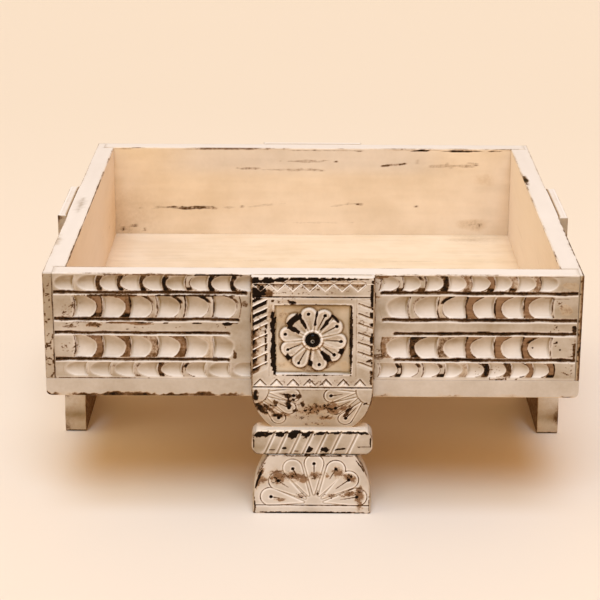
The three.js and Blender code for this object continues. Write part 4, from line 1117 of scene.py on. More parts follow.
def shell_mesh(name, rings, wear_and_painted_light, turns, cap_wear=None):
    """A closed mesh through rings of equally many points, counterclockwise seen from their end. wear is
    each point's stain, bareness, grime and cream. cap_wear, if given, tells it for the last cap."""
    rings, wear_and_painted_light = np.array(rings), np.array(wear_and_painted_light)
    rows, count = rings.shape[:2]
    places, worn = rings.reshape(-1, 3), wear_and_painted_light.reshape(-1, 4)
    at = np.arange(count)
    after = (at + 1) % count
    start = np.arange(rows - 1)[:, None] * count
    quads = np.stack([start + at, start + after, start + count + after, start + count + at], -1)
    last = count * (rows - 1)
    caps = [at[::-1], at + last]
    if cap_wear:
        extra, triangles = filled_cap(rings[-1][:, :2], last)
        caps = [at[::-1], *map(np.array, triangles)]
        places = np.concatenate([places, np.column_stack([extra, np.full(len(extra), rings[-1][0][2])])])
        worn = np.concatenate([worn, cap_wear(*extra.T)])
    loops = np.concatenate([quads.ravel(), *caps])
    sizes = np.array([4] * (quads.size // 4) + [len(cap) for cap in caps])
    data = bpy.data.meshes.new(name)
    data.vertices.add(len(places))
    data.loops.add(len(loops))
    data.polygons.add(len(sizes))
    data.vertices.foreach_set("co", (turned(places, turns) * MM).ravel())
    data.loops.foreach_set("vertex_index", loops)
    data.polygons.foreach_set("loop_start", np.concatenate([[0], np.cumsum(sizes)[:-1]]))
    data.update(calc_edges=True)
    # The wear attribute carries painted shade and painted highlights along with the wear
    painted = (("wear_and_painted_light", "FLOAT_COLOR", "color", worn), ("place", "FLOAT_VECTOR", "vector", places * MM))
    for attribute, kind, key, values in painted:
        data.attributes.new(attribute, kind, "POINT").data.foreach_set(key, values.ravel())
    return data


def rounded_outline(corners, radius, spacing, first_side):
    """A plan outline, counterclockwise, with its outer corners rounded and its sides divided.

    Gives the places, the outward directions, and where the first side's own points lie, whose distances
    from its start are given.
    """
    corners = [np.array(corner, float) for corner in corners]
    count = len(corners)
    spans = [np.linalg.norm(corners[(i + 1) % count] - corners[i]) for i in range(count)]
    ways = [(corners[(i + 1) % count] - corners[i]) / spans[i] for i in range(count)]
    normals = [np.array([way[1], -way[0]]) for way in ways]
    places, outward, run = [], [], None
    for i in range(count):
        before, after = normals[i - 1], normals[i]
        convex = ways[i - 1][0] * ways[i][1] > ways[i - 1][1] * ways[i][0]
        directions = [before + after]
        if convex:
            turns = quarter(CORNER_STEPS)
            directions = [before * math.cos(angle) + after * math.sin(angle) for angle in turns]
        centre = corners[i] - radius * (before + after) if convex else corners[i]
        for direction in directions:
            places.append(centre + radius * direction if convex else centre)
            outward.append(direction)
        inside = first_side
        if i:
            inside = stations(0, spans[i], min(spacing, spans[i] / SIDE_PARTS))
            margin = radius + CORNER_GAP
            inside = inside[(inside > margin) & (inside < spans[i] - margin)]
        else:
            run = slice(len(places), len(places) + len(inside))
        places.extend(corners[i] + step * ways[i] for step in inside)
        outward.extend([after] * len(inside))
    return np.array(places), np.array(outward), run


# How round the edges are, and how much further in the last ring of a top lies
EDGE_ROUND, TOP_INSET = 0.7, 0.6


def edge_levels(low, high):
    """Heights and insets of the rings that round a bottom and a top edge."""
    angles = quarter(EDGE_STEPS)[::-1]
    rises = [EDGE_ROUND * (1 - math.sin(angle)) for angle in angles]
    insets = [EDGE_ROUND * (1 - math.cos(angle)) for angle in angles]
    bottom = list(zip([low + rise for rise in rises], insets))
    top = list(zip([high - rise for rise in rises[::-1]], insets[::-1]))
    return bottom, top + [(high, EDGE_ROUND + TOP_INSET)]


def ring_levels(bottom, heights, top):
    """Each ring's height and inset, and the row of the face that it follows."""
    levels = [(z, inset, 0) for z, inset in bottom] + [(z, 0, row) for row, z in enumerate(heights)]
    return levels + [(z, inset, len(heights) - 1) for z, inset in top]


# Walls

FINE, GROOVE_FINE, BACK_STEP = 0.66, 0.37, 4.0
# How much of its rounding an edge keeps where it lies against another piece
TIGHT = 0.15
JOINT_GAP, MODEL_GAP = 0.05, 0.3
LIPS = {"left": HALF + WALL_LOW[0] - MODEL_GAP, "right": HALF - WALL_HIGH[0] - MODEL_GAP}
NAIL_PLACE = (HALF + INNER) / 2
CORNER_NAILS = [extent(f"corner_nail_left_front_{end}") for end in ("upper", "lower")]
NAIL_HEIGHTS = [(low[2] + high[2]) / 2 for low, high in CORNER_NAILS]
# Scuffs on the inner face of the back wall, as x on the table, height, half sizes, amount and any tilt
BACK_SCUFFS = (
    (-116, 132, 36, 1.6, 0.33), (-117, 132, 14, 2.0, 0.56), (-94, 132.3, 7, 1.6, 0.46),
    (-64, 133.2, 4, 1.2, 0.45), (-45, 134.6, 14, 1.0, 0.28, 6), (-178, 110.5, 3.4, 3.0, 0.5),
    (-168, 113.4, 4, 1.8, 0.42, 25), (-157, 110.4, 3, 2.4, 0.4), (66.6, 173.4, 3.2, 1.9, 0.6),
    (84.5, 175, 3.2, 1.9, 0.6, 10), (75, 174.2, 7, 0.8, 0.42), (97, 177, 3, 2.0, 0.36),
    (129, 173.8, 18, 2.4, 0.34), (149, 174.6, 5, 3.0, 0.38), (44, 136, 4, 1.4, 0.46, -12),
    (97, 134, 4, 1.2, 0.55, -8), (28, 135.4, 12, 1.0, 0.3, 8), (157, 116.5, 3.6, 1.8, 0.48),
    (-10, 177, 21, 1.4, 0.38), (-10, 169, 21, 1.4, 0.36), (-60, 170, 9, 1.2, 0.38),
    (-38, 169, 6, 1.2, 0.38), (21, 177, 1.4, 1.3, 0.62), (0, 118, 44, 1.0, 0.22),
    (98, 187.6, 13, 0.8, 1.0), (142, 187.4, 26, 0.7, 0.9), (20, 187.4, 40, 0.6, 0.45),
)


# Warm patches on the same face, as x on the wall
INNER_KNOTS = (
    (-150, 117, 17, 6, 0.36), (-157, 116, 5, 3, 0.42), (176, 112, 13, 9, 0.36, 20),
    (-160, 160, 12, 6, 0.28),
)
# The back wall's cream, how much it grows to the right and shrinks in the whiter smudge under its rim,
# and its grime with what the smudge adds
BACK_CREAM, CREAM_GROWTH, WHITER, BACK_GRIME, SMUDGE_GRIME = 0.76, 0.22, 0.4, 0.19, 0.08
# The other walls' cream and grime, and how much creamier the left one is towards the back, where the
# warmer corner is partly painted shade
OTHER_CREAM, OTHER_GRIME, CORNER_CREAM_AND_SHADE = 0.25, -0.04, 0.65
# Where they change: up and along for the smudge, to the right for the cream, and along and up for the
# back wall's bare wood and for the left wall's corner
SMUDGE_UP, SMUDGE_ALONG, SMUDGE_MIDDLE, CREAM_ALONG = (158, 176), (150, 90), 10, (40, 150)
BACK_END, BACK_END_UP, LEFT_END, LEFT_END_UP = (110, INNER), (175, 120), (20, INNER), (190, 130)
# Cell, roughness and softness of the scuffs and of the warm patches, and the clouds of the grime
SCUFF_LOOK, KNOT_LOOK, INNER_CLOUDS = (5.0, 1.3), (12.0, 0.8, 1.4), 0.08
# The cells of those clouds, and the length over which the line under the rim changes
INNER_CLOUD_CELLS, RIM_LINE_LENGTH = (60, 8), 16
# Bare wood low at the back wall's left end and the left wall's back end, which makes that corner
# warmer and darker, partly as painted shade
BACK_END_BARE_AND_SHADE, LEFT_END_BARE_AND_SHADE = 0.24, 0.16
# How many of the scuffs the other walls have, and how far they are moved
OTHER_SCUFFS, SCUFF_SHIFT = 5, (30, 8)
# The line under the rim: where, how bare on side walls and on others, and its stain against that
UNDER_RIM, SIDE_RIM_LINE, END_RIM_LINE, LINE_SHARE = (RIM - 1.0, 0.9), 0.55, 0.6, 0.85


def inner_wear(face, name, rng, seed):
    """Cream paint with scuffs, and whiter paint towards the top of the back wall."""
    x, z = face.x, face.z
    marks = [(-mark[0], *mark[1:5], -with_tilt(mark)[5]) for mark in BACK_SCUFFS]
    if name == "back":
        smudge = smooth_step(z, *SMUDGE_UP) * smooth_step(np.abs(x - SMUDGE_MIDDLE), *SMUDGE_ALONG)
        grime = BACK_GRIME + SMUDGE_GRIME * smudge
        face.cream[:] = BACK_CREAM + CREAM_GROWTH * smooth_step(x, *CREAM_ALONG) - WHITER * smudge
        # Warmer, darker paint low at the left end, partly painted shade in the corner
        face.add("bare", BACK_END_BARE_AND_SHADE * smooth_step(x, *BACK_END) * smooth_step(z, *BACK_END_UP))
    else:
        grime = OTHER_GRIME
        face.cream[:] = OTHER_CREAM
        if name == "left":
            # Creamier, darker paint towards the back corner, partly painted shade
            to_corner = smooth_step(-x, *LEFT_END) * smooth_step(z, *LEFT_END_UP)
            face.cream[:] = OTHER_CREAM + CORNER_CREAM_AND_SHADE * to_corner
            face.add("bare", LEFT_END_BARE_AND_SHADE * to_corner)
        marks = varied(marks[:OTHER_SCUFFS], rng, *SCUFF_SHIFT)
    daub(face, "stain", marks, seed, *SCUFF_LOOK)
    if name == "back":
        daub(face, "bare", INNER_KNOTS, seed + 40, *KNOT_LOOK)
    rim_line = bell_curve(z, *UNDER_RIM) * patchy(x, 0, RIM_LINE_LENGTH, 1, seed + 2)
    amount = SIDE_RIM_LINE if name in LIPS else END_RIM_LINE
    face.add("bare", amount * rim_line)
    face.add("stain", LINE_SHARE * amount * rim_line)
    return face.worn(grime + INNER_CLOUDS * patchy(x, z, *INNER_CLOUD_CELLS, seed + 4), 0, 0)


# Broken lines along a rim's inner and outer edge: where, how bare and how stained
INNER_LINE = {"at": (-INNER - 0.5, 0.6), "bare": 0.95, "stain": 0.7, "on sides": 0.75, "power": 1.5}
OUTER_LINE = {"at": (-HALF + 0.5, 0.8), "bare": 0.6, "stain at": (-HALF + 0.35, 0.6), "stain": 0.4}
# A rim's grime, with what its clouds add and what is added towards the back, and from where to where
RIM_GRIME, RIM_CLOUDS, BACK_RIM_GRIME, TOWARDS_BACK = 0.04, 0.06, 0.06, (-60, 100)
# Cells along and across, and the seed's step, of what breaks a rim's inner line, outer line and spots,
# of its clouds, and of the left rim's line, fine spots and smudge
INNER_CELLS, OUTER_CELLS, SPOT_CELLS, CLOUD_CELLS = (15, 1, 0), (12, 1, 1), (6, 4, 2), (40, 6, 4)
LEFT_LINE_CELLS, FINE_CELLS, SMUDGE_CELLS = (9, 1, 3), (2.2, 1.6, 5), (9, 2, 6)
# The left rim's dark line beside the tray, and its smudge and scrape, and the right rim's stain
LEFT_LINE = {
    "at": (-INNER - 0.2, 0.35), "stain": 0.75, "middle": 60, "fade": (135, 120), "broken": (0.6, 0.6),
}
SMUDGE = {"x": (13, 22), "y": (-HALF + 7.5, 3.6), "stain": 0.5, "grime": 0.6, "broken": (0.3, 0.6)}
SCRAPE = {"x": (117, 14), "y": (-HALF + 1.5, 3), "bare": 0.6, "grime": 0.7}
RIGHT_SPOT = {"x": (73, 16), "y": (-INNER - 1.4, 2.0), "stain": 1.1}
RIGHT_OUTER = 1.2
# How much of each is left between the spots: stain and grime of the smudge, and the right rim's stain
STAIN_BETWEEN, GRIME_BETWEEN, RIGHT_BETWEEN = 0.2, 0.4, 0.4


def rim_cells(x, y, cells, seed):
    """Random cells of a size along and across a rim."""
    along, across, step = cells
    return patchy(x, y, along, across, seed + step)


def rim_wear(name, x, y, seed):
    """Wear on the top of a wall: broken lines along its edges, and a few smudges."""
    away_from_leg = np.abs(x) > LEG_HALF
    inner = bell_curve(y, *INNER_LINE["at"]) * rim_cells(x, 0, INNER_CELLS, seed)
    inner = inner * (INNER_LINE["on sides"] if name in LIPS else 1)
    outer = bell_curve(y, *OUTER_LINE["at"]) * rim_cells(x, 0, OUTER_CELLS, seed) * away_from_leg
    bare = np.maximum(INNER_LINE["bare"] * inner, OUTER_LINE["bare"] * outer)
    dark = bell_curve(y, *OUTER_LINE["stain at"]) * away_from_leg * (name != "front")
    stain = np.maximum(INNER_LINE["stain"] * inner ** INNER_LINE["power"], OUTER_LINE["stain"] * dark)
    towards_back = {"front": -HALF, "back": HALF, "left": -x, "right": x}[name]
    grime = RIM_GRIME + RIM_CLOUDS * rim_cells(x, y, CLOUD_CELLS, seed)
    grime = grime + BACK_RIM_GRIME * smooth_step(towards_back, *TOWARDS_BACK)
    spots = rim_cells(x, y, SPOT_CELLS, seed)
    if name == "left":
        fade = smooth_step(np.abs(x - LEFT_LINE["middle"]), *LEFT_LINE["fade"])
        broken = ragged(rim_cells(x, 0, LEFT_LINE_CELLS, seed), *LEFT_LINE["broken"])
        line = bell_curve(y, *LEFT_LINE["at"]) * fade * broken
        fine_spots = rim_cells(x, y, FINE_CELLS, seed)
        smudge = spot(x, y, SMUDGE) * smooth_step(rim_cells(x, y, SMUDGE_CELLS, seed), *SMUDGE["broken"])
        scrape = spot(x, y, SCRAPE) * spots
        stain = np.maximum(stain, LEFT_LINE["stain"] * line)
        stain = np.maximum(stain, SMUDGE["stain"] * smudge * (STAIN_BETWEEN + fine_spots))
        soiled = SMUDGE["grime"] * smudge * (GRIME_BETWEEN + fine_spots) + SCRAPE["grime"] * scrape
        grime = np.maximum(grime, soiled)
        bare = np.maximum(bare, SCRAPE["bare"] * scrape)
    if name == "right":
        spotted = spot(x, y, RIGHT_SPOT) * (RIGHT_BETWEEN + spots)
        stain = np.maximum(stain, RIGHT_SPOT["stain"] * spotted)
        stain = np.maximum(stain, RIGHT_OUTER * outer * (x < -LEG_HALF))
    return wear_rows(stain, bare, grime, 0.0)


# How far from a groove a wall's rings are close together, how much higher than a ring that distance is
# taken from, and how far from the rounded edges the first and the last ring may lie
GROOVE_NEAR, GROOVE_OFFSET, FIRST_ROW, LAST_ROW = 2.2, 0.8, 0.1, 0.5


def wall_heights():
    """Heights of a wall's rings, closer together at its grooves."""
    heights = [WALL_FOOT + EDGE_ROUND + FIRST_ROW]
    while heights[-1] < RIM - EDGE_ROUND - LAST_ROW:
        near = min(abs(heights[-1] + GROOVE_OFFSET - height) for height in GROOVE_HEIGHTS)
        heights.append(heights[-1] + (GROOVE_FINE if near < GROOVE_NEAR else FINE))
    return np.array(heights)


def wall_corners(name):
    """The plan of a wall. The side walls keep the lips over the ends of the others."""
    if name in ("front", "back"):
        reach = MODEL_GAP - JOINT_GAP
        low, high = WALL_LOW[0] - reach, WALL_HIGH[0] + reach
        if name == "back":
            low, high = -extent("back_wall")[1][0] - reach, -extent("back_wall")[0][0] + reach
        return [(low, -HALF), (high, -HALF), (high, -INNER), (low, -INNER)]
    shoulder, step = INNER - JOINT_GAP, -HALF + LIPS[name]
    right = [(HALF, -HALF), (HALF, step), (shoulder, step), (shoulder, -INNER)]
    return [(-HALF, -HALF), *right, *mirrored(right[1:])]


# How near a point has to be to count as lying against a leg or a lip, or another wall
TOUCHING, TOUCHING_WALL = 0.01, 0.1


def joined(name, plan):
    """Whether each point of a wall's plan lies against a leg or another wall."""
    x, y = plan.T
    at_leg = (np.abs(x) < LEG_HALF) & (y < -HALF + TOUCHING)
    if name in LIPS:
        return at_leg | ((np.abs(x) > INNER - TOUCHING_WALL) & (y > -HALF + LIPS[name] - TOUCHING))
    return at_leg | (x < x.min() + TOUCHING_WALL) | (x > x.max() - TOUCHING_WALL)


# A lip's joint line as width and cell, its outer line as place, width and cell, and where its specks
# start and are full
JOINT_LINE, LIP_EDGE_LINE, LIP_SPECKS = (0.9, 16), (0.4, 0.5, 11), (0.6, 0.8)
# The cells of the specks and of the bare wood, across and up
LIP_CELLS, LIP_BARE_CELLS = (1.5, 2.4), (4, 14)
# How strong all that is on a lip, with its paint. The right one has a heavy stain and darker grooves.
LIP_BARE = 0.14
LEFT_LIP = {
    "joint": 0.85, "outer": 0.8, "specks": 0.7, "grime": 0.76, "more grime": 0.06, "from": (140, 165),
    "cream": 0.1,
}
RIGHT_LIP = {
    "joint": 0.5, "edge": 0.55, "specks": 0.6, "heavy": 0.8, "heavy at": (138, 18), "bare": 0.75,
    "grime": 0.86, "cream": 0.25, "groove": (0.4, 0.9), "edge end": 0.3, "between": 0.6, "clear": 0.6,
}


def lip_wear(name, places, z, seed):
    """Greyed and speckled wood on the end of a side wall, with a dark line along its joint."""
    y = places[:, 1] + HALF
    width, cell = JOINT_LINE
    joint = bell_curve(y, LIPS.get(name, 0), width) * patchy(0, z, 1, cell, seed)
    at, width, cell = LIP_EDGE_LINE
    outer = bell_curve(y, at, width) * patchy(0, z, 1, cell, seed + 1)
    specks = smooth_step(patchy(y, z, *LIP_CELLS, seed + 2), *LIP_SPECKS)
    bare = LIP_BARE * patchy(y, z, *LIP_BARE_CELLS, seed + 3)
    if name != "right":
        look = LEFT_LIP
        stains = [look["joint"] * joint, look["outer"] * outer, look["specks"] * specks]
        grime = look["grime"] + look["more grime"] * smooth_step(z, *look["from"])
        return wear_rows(np.maximum.reduce(stains), bare, grime, look["cream"])
    look = RIGHT_LIP
    edge = smooth_step(y, LIPS[name], look["edge end"] * LIPS[name])
    heavy = look["heavy"] * bell_curve(z, *look["heavy at"]) * (look["between"] + specks)
    below, width = look["groove"]
    grooves = np.max([bell_curve(z, height + LIFTS[1] - below, width) for height in GROOVE_HEIGHTS])
    stains = [look["joint"] * joint, look["edge"] * edge, look["specks"] * specks, heavy]
    stain = np.maximum.reduce([*stains, grooves * (1 - look["clear"] * edge)])
    return wear_rows(stain, np.maximum(bare, look["bare"] * edge), look["grime"], look["cream"])


# The spacing behind the leg, how far columns stay from corners and from the leg, how much of a face's
# wear a rim keeps, and how near two places count as one
BEHIND_LEG, CORNER_MARGIN, LEG_MARGIN, RIM_KEEPS, NEAR = 12, 0.2, 0.1, 0.4, 0.01


def make_wall(name, seed):
    rng = np.random.default_rng(seed + 1)
    corners = wall_corners(name)
    left, right = corners[0][0], corners[1][0]
    nails = [(side * NAIL_PLACE, z) for side in (-1, 1) for z in NAIL_HEIGHTS] if name in LIPS else []
    columns = np.concatenate([
        stations(left + EDGE_ROUND + CORNER_MARGIN, -LEG_HALF - LEG_MARGIN, FINE),
        stations(-LEG_HALF, LEG_HALF, BEHIND_LEG),
        stations(LEG_HALF + LEG_MARGIN, right - EDGE_ROUND - CORNER_MARGIN, FINE),
    ])
    plan, outward, run = rounded_outline(corners, EDGE_ROUND, BACK_STEP, columns - left)
    heights = wall_heights()
    face = Face(columns[None, :], heights[:, None])
    worn = carve_wall(face, name == "front", nails, seed)
    inside = np.abs(plan[:, 1] + INNER) < NEAR
    end = (np.abs(outward[:, 0]) > 0.5) & ~inside
    tight = joined(name, plan)
    inner_worn = inner_wear(Face(plan[inside, 0][None, :], heights[:, None]), name, rng, seed + 5)
    bottom, top = edge_levels(WALL_FOOT, RIM)
    rings, wear_and_painted_light = [], []
    for z, inset, row in ring_levels(bottom, heights, top):
        drawn_in = np.where(tight | (inside & (z < RIM - EDGE_ROUND - 1)), TIGHT * inset, inset)
        places = np.column_stack([plan - drawn_in[:, None] * outward, np.full(len(plan), z)])
        fade = max(0, 1 - inset / EDGE_ROUND)
        places[run, 1] += face.depth[row] * fade
        ring = np.tile((0.0, 0.0, WALL_GRIME * fade, 0.0), (len(plan), 1))
        ring[run] = worn[row] * fade
        ring[inside] = inner_worn[row]
        ring[end] = lip_wear(name, plan[end], z, seed + 6)
        if z > RIM - EDGE_ROUND:
            ring = np.maximum(RIM_KEEPS * ring, rim_wear(name, *places[:, :2].T, seed + 7))
        rings.append(places)
        wear_and_painted_light.append(ring)

    def top_wear(x, y):
        return rim_wear(name, x, y, seed + 7)

    data = shell_mesh(f"{name}_wall", rings, wear_and_painted_light, TURNS[name], top_wear)
    return finish_piece(f"{name}_wall", data, "painted_carving")


# Legs

FOOT_HALF, FOOT_TOP_HALF, PLINTH = 45.0, 33.0, 12.0
FOOT_CORNER, ROLL_CORNER, ROLL_EDGE = 2.0, 7.0, 2.5
BELL_HALF, BELL_SETBACK = 30.0, 8.0
HALVING_BACK = -HALF - JOINT_GAP
LEG_FINE, LEG_ROUND, LEDGE = 0.5, 0.8, 0.02
LEG_RIM = RIM - 0.1
LEDGE_WEAR = (0.0, 0.0, 0.04, 0.6)
# How far from the sole and from the roll's ends its rings lie where an edge is rounded
SOLE_STEPS, ROLL_STEPS = [0, 0.15, 0.4, 0.8, 1.3], [0.0, 0.08, 0.3, 0.7, 1.2, 1.8]
# The sides of a leg, above the box's underside and below it: specks, worn corners and grime, and the
# bare wood in the specks, the cream, and how much of all this the rounded top keeps
UPPER_FLANK, LOWER_FLANK = (0.45, 1.2, 0.8), (0.28, 0.9, 0.64)
FLANK_BARE, FLANK_CREAM, FLANK_KEPT = 0.7, 0.3, 0.15
# Cells of the specks, the corner's place behind the front and its width, and the length over which it
# changes
FLANK_CELLS, FLANK_CORNER, CORNER_LENGTH = (3, 4), (0.4, 1.0), 19
# Low on the sides: how much cleaner the foot's upper part is, and how much darker a band over its plinth
CLEANER, CLEANER_FROM, DARKER, DARKER_AT = 0.12, (20, 30), 0.26, (15, 4)
SOLE_STAIN, SOLE_EDGE = 0.8, (2.2, 0.6)
# The points of a ring that lie on a leg's inner face, painted dark as bare wood and as painted shade,
# the first of them that far from its corner
INNER_FACE, INNER_FACE_WEAR_AND_SHADE, INNER_CORNER = slice(-5, -2), (0.35, 0.6, 1.0, 1.0), 0.8
TOP_LINE, TOP_STAIN, TOP_BARE, TOP_GRIME = (LEG_FACE + 1.1, 1.6), 0.34, 0.2, 0.09


def bulge(height, low, wide, high, narrow):
    """Half width at a height on an arc that leaves (wide, low) upright and reaches (narrow, high)."""
    inward, rise = wide - narrow, abs(high - low)
    radius = (inward ** 2 + rise ** 2) / (2 * inward)
    return wide - radius + math.sqrt(radius ** 2 - min(abs(height - low), rise) ** 2)


def quarter_inset(distance, radius):
    """How far a rounded edge has drawn in, at a distance from the end of its piece."""
    return 0.0 if distance >= radius else radius - math.sqrt(radius ** 2 - (radius - distance) ** 2)


def leg_rings():
    """Height, half width, front and back of each ring of a leg, from the sole up."""
    rings = []
    for z in SOLE_STEPS + list(stations(FOOT_CORNER, ROLL_LOW, LEG_FINE)):
        half = FOOT_HALF - quarter_inset(z, FOOT_CORNER)
        if z > PLINTH:
            half = bulge(z, PLINTH, FOOT_HALF, ROLL_LOW, FOOT_TOP_HALF)
        rings.append((z, half, LEG_FACE + quarter_inset(z, LEG_ROUND), LEG_BACK))
    tall = ROLL_TOP - ROLL_LOW
    roll = list(stations(ROLL_EDGE, tall - ROLL_EDGE, LEG_FINE))
    for z in ROLL_STEPS + roll + [tall - step for step in ROLL_STEPS[::-1]]:
        off = min(z, tall - z)
        front = LEG_FACE + quarter_inset(off, ROLL_EDGE)
        rings.append((ROLL_LOW + z, LEG_HALF - quarter_inset(off, ROLL_CORNER), front, LEG_BACK))
    for z in sorted([*stations(ROLL_TOP, BLOCK_FOOT, LEG_FINE), UNDERSIDE - LEDGE, UNDERSIDE]):
        half = bulge(z, BLOCK_FOOT, LEG_HALF, ROLL_TOP, BELL_HALF)
        setback = BELL_SETBACK - bulge(z, BLOCK_FOOT, BELL_SETBACK, ROLL_TOP, 0)
        rings.append((z, half, LEG_FACE + setback, LEG_BACK if z < UNDERSIDE else HALVING_BACK))
    for z in list(stations(BLOCK_FOOT, LEG_RIM - EDGE_ROUND, LEG_FINE))[1:]:
        rings.append((z, LEG_HALF, LEG_FACE, HALVING_BACK))
    return rings


def flank_wear(y, z, front, fade, seed):
    """Wear on the sides of a leg for one ring, whose points lie at the depths y."""
    speckle = patchy(y, z, *FLANK_CELLS, seed + 200)
    behind, width = FLANK_CORNER
    corner = bell_curve(y, front + behind, width) * patchy(0, z, 1, CORNER_LENGTH, seed + 201)
    specks, corners, grime = UPPER_FLANK if z > UNDERSIDE else LOWER_FLANK
    if z <= UNDERSIDE:
        grime = grime - CLEANER * smooth_step(z, *CLEANER_FROM) + DARKER * bell_curve(z, *DARKER_AT)
    stain = np.maximum(specks * speckle, corners * corner)
    ring = wear_rows(stain, FLANK_BARE * specks * speckle, grime, FLANK_CREAM)
    ring *= FLANK_KEPT + (1 - FLANK_KEPT) * fade
    ring[:, 0] = np.maximum(ring[:, 0], SOLE_STAIN * smooth_step(z, *SOLE_EDGE))
    # The leg's inner face: bare wood, darkened further as painted shade
    ring[INNER_FACE] = INNER_FACE_WEAR_AND_SHADE
    if abs(z - ROLL_TOP) < 1:
        ring[:] = LEDGE_WEAR
    return ring


def make_leg(name, seed):
    """One leg as a single carved shell: foot, roll, bell and block."""
    rows = leg_rings()
    heights, halves = (np.array([row[k] for row in rows])[:, None] for k in (0, 1))
    share = stations(-1, 1, LEG_FINE / LEG_HALF)[1:-1]
    face = Face(share[None, :] * (halves - LEG_ROUND - 0.15), heights)
    worn = carve_leg(face, halves, name == "front", seed)
    _, top = edge_levels(0, LEG_RIM)
    levels = [(row, 0.0, k) for k, row in enumerate(rows)]
    levels += [((z, LEG_HALF, LEG_FACE, HALVING_BACK), inset, len(rows) - 1) for z, inset in top]
    arc = quarter(CORNER_STEPS)
    rings, wear_and_painted_light = [], []
    for (z, half, front, back), inset, row in levels:
        fade = max(0, 1 - inset / EDGE_ROUND)
        tight = LEG_ROUND - inset
        centre = half - LEG_ROUND, front + LEG_ROUND
        left = [(-centre[0] - tight * math.cos(a), centre[1] - tight * math.sin(a)) for a in arc]
        across = np.column_stack([face.x[row], front + inset + face.depth[row] * fade])
        side, end, middle = half - inset, back - TIGHT * inset, (front + back) / 2
        back_half = [(side, middle), (side, end - INNER_CORNER), (side, end)]
        behind = [*back_half, (0.0, end), *mirrored(back_half)]
        plan = np.concatenate([left, across, mirrored(left), behind])
        ring = flank_wear(plan[:, 1], z, front, fade, seed)
        ring[len(left):len(left) + len(across)] = worn[row] * fade
        rings.append(np.column_stack([plan, np.full(len(plan), z)]))
        wear_and_painted_light.append(ring)

    def top_wear(x, y):
        line = bell_curve(y, *TOP_LINE) * (name != "front")
        return wear_rows(TOP_STAIN * line, TOP_BARE * patchy(x, y, 9, 4, seed + 211), TOP_GRIME, 0.0)

    data = shell_mesh(f"{name}_leg", rings, wear_and_painted_light, TURNS[name], top_wear)
    return finish_piece(f"{name}_leg", data, "painted_carving")


# Planks

PLANK_STEP, PLANK_ROUND, PLANK_CORNER = 4.0, 0.35, 4.0
# The spacing across the first plank, whose worn front edge shows
FRONT_STEP = 1.0
# How a plank's corner is divided, how far its outline's points stay from it, the spacing up its ends,
# and how far from its long edges its rings lie
PLANK_CORNER_STEPS, PLANK_MARGIN, END_MARGIN, END_STEP = 5, 1, 0.5, 1.5
EASE = [0, 0.12, PLANK_ROUND, 0.9, 1.8, 3.0]
# Rings over the first plank's front edge, as shares of its outline, and how much shorter the middle is
FRONT_SHARES, FRONT_SHORTER = (0.0, 0.2, 0.4, 0.6, 0.72, 0.8, 0.86, 0.91, 0.95, 0.98), 12
# Wear along the lower front edge: x, half width and amount
FRONT_EDGE_WEAR = (
    (-196, 6, 0.9), (-170, 12, 0.95), (-150, 14, 1.05), (-128, 14, 1.0), (-104, 16, 0.95),
    (-82, 14, 0.85), (-62, 12, 0.7), (53, 7, 0.45), (105, 10, 0.4), (150, 12, 0.3), (191, 4, 0.9),
)
# How high that wear reaches and is full, how ragged it is, and its stain and bareness
EDGE_FROM, RAGGED, RAGGED_COARSE, RAGGED_FINE = (2.7, 1.2), 1.05, (0.45, 9), (0.6, 2.2)
EDGE_STAIN, EDGE_BARE, EDGE_GRIME, EDGE_KEPT = 0.82, 1.1, 0.61, 0.4
UNDER_WEAR = (0.0, 0.25, 0.4, 1.0)
# The tray's floor: its seams, bare wood in them and in a worn spot, grime in streaks and along the walls
SEAMS, SEAM_BARE, SEAM_WIDTH = (-100, 0, 100), 0.3, 1.2
FLOOR_SPOT = {"x": (152, 26), "y": (168, 16), "bare": 0.38}
# Cells of the streaks, long and short, the length over which the seams change, and how bare the spot is
# between the streaks
LONG_STREAKS, SHORT_STREAKS, SEAM_CELL, SPOT_BETWEEN = (70, 4), (25, 7), 25, 0.5
STREAK_GRIME, WALL_SIDE_GRIME, WALL_SIDE_WIDTH, FLOOR_CREAM = 0.12, 0.14, 7, 0.95


def floor_wear(x, y, seed):
    """Wear on the tray's floor: faint streaks, and dirt in the seams and corners."""
    streaks = patchy(x, y, *LONG_STREAKS, seed) * patchy(x, y, *SHORT_STREAKS, seed + 1)
    seam = np.min([np.abs(y - place) for place in SEAMS], 0)
    bare = SEAM_BARE * bell_curve(seam, 0, SEAM_WIDTH) * patchy(x, 0, SEAM_CELL, 1, seed + 2)
    bare = bare + FLOOR_SPOT["bare"] * spot(x, y, FLOOR_SPOT) * (SPOT_BETWEEN + streaks)
    beside_wall = smooth_step(np.maximum(np.abs(x), np.abs(y)), INNER - WALL_SIDE_WIDTH, INNER)
    grime = np.maximum(STREAK_GRIME * streaks, WALL_SIDE_GRIME * beside_wall)
    return wear_rows(0.0, bare, grime, FLOOR_CREAM)


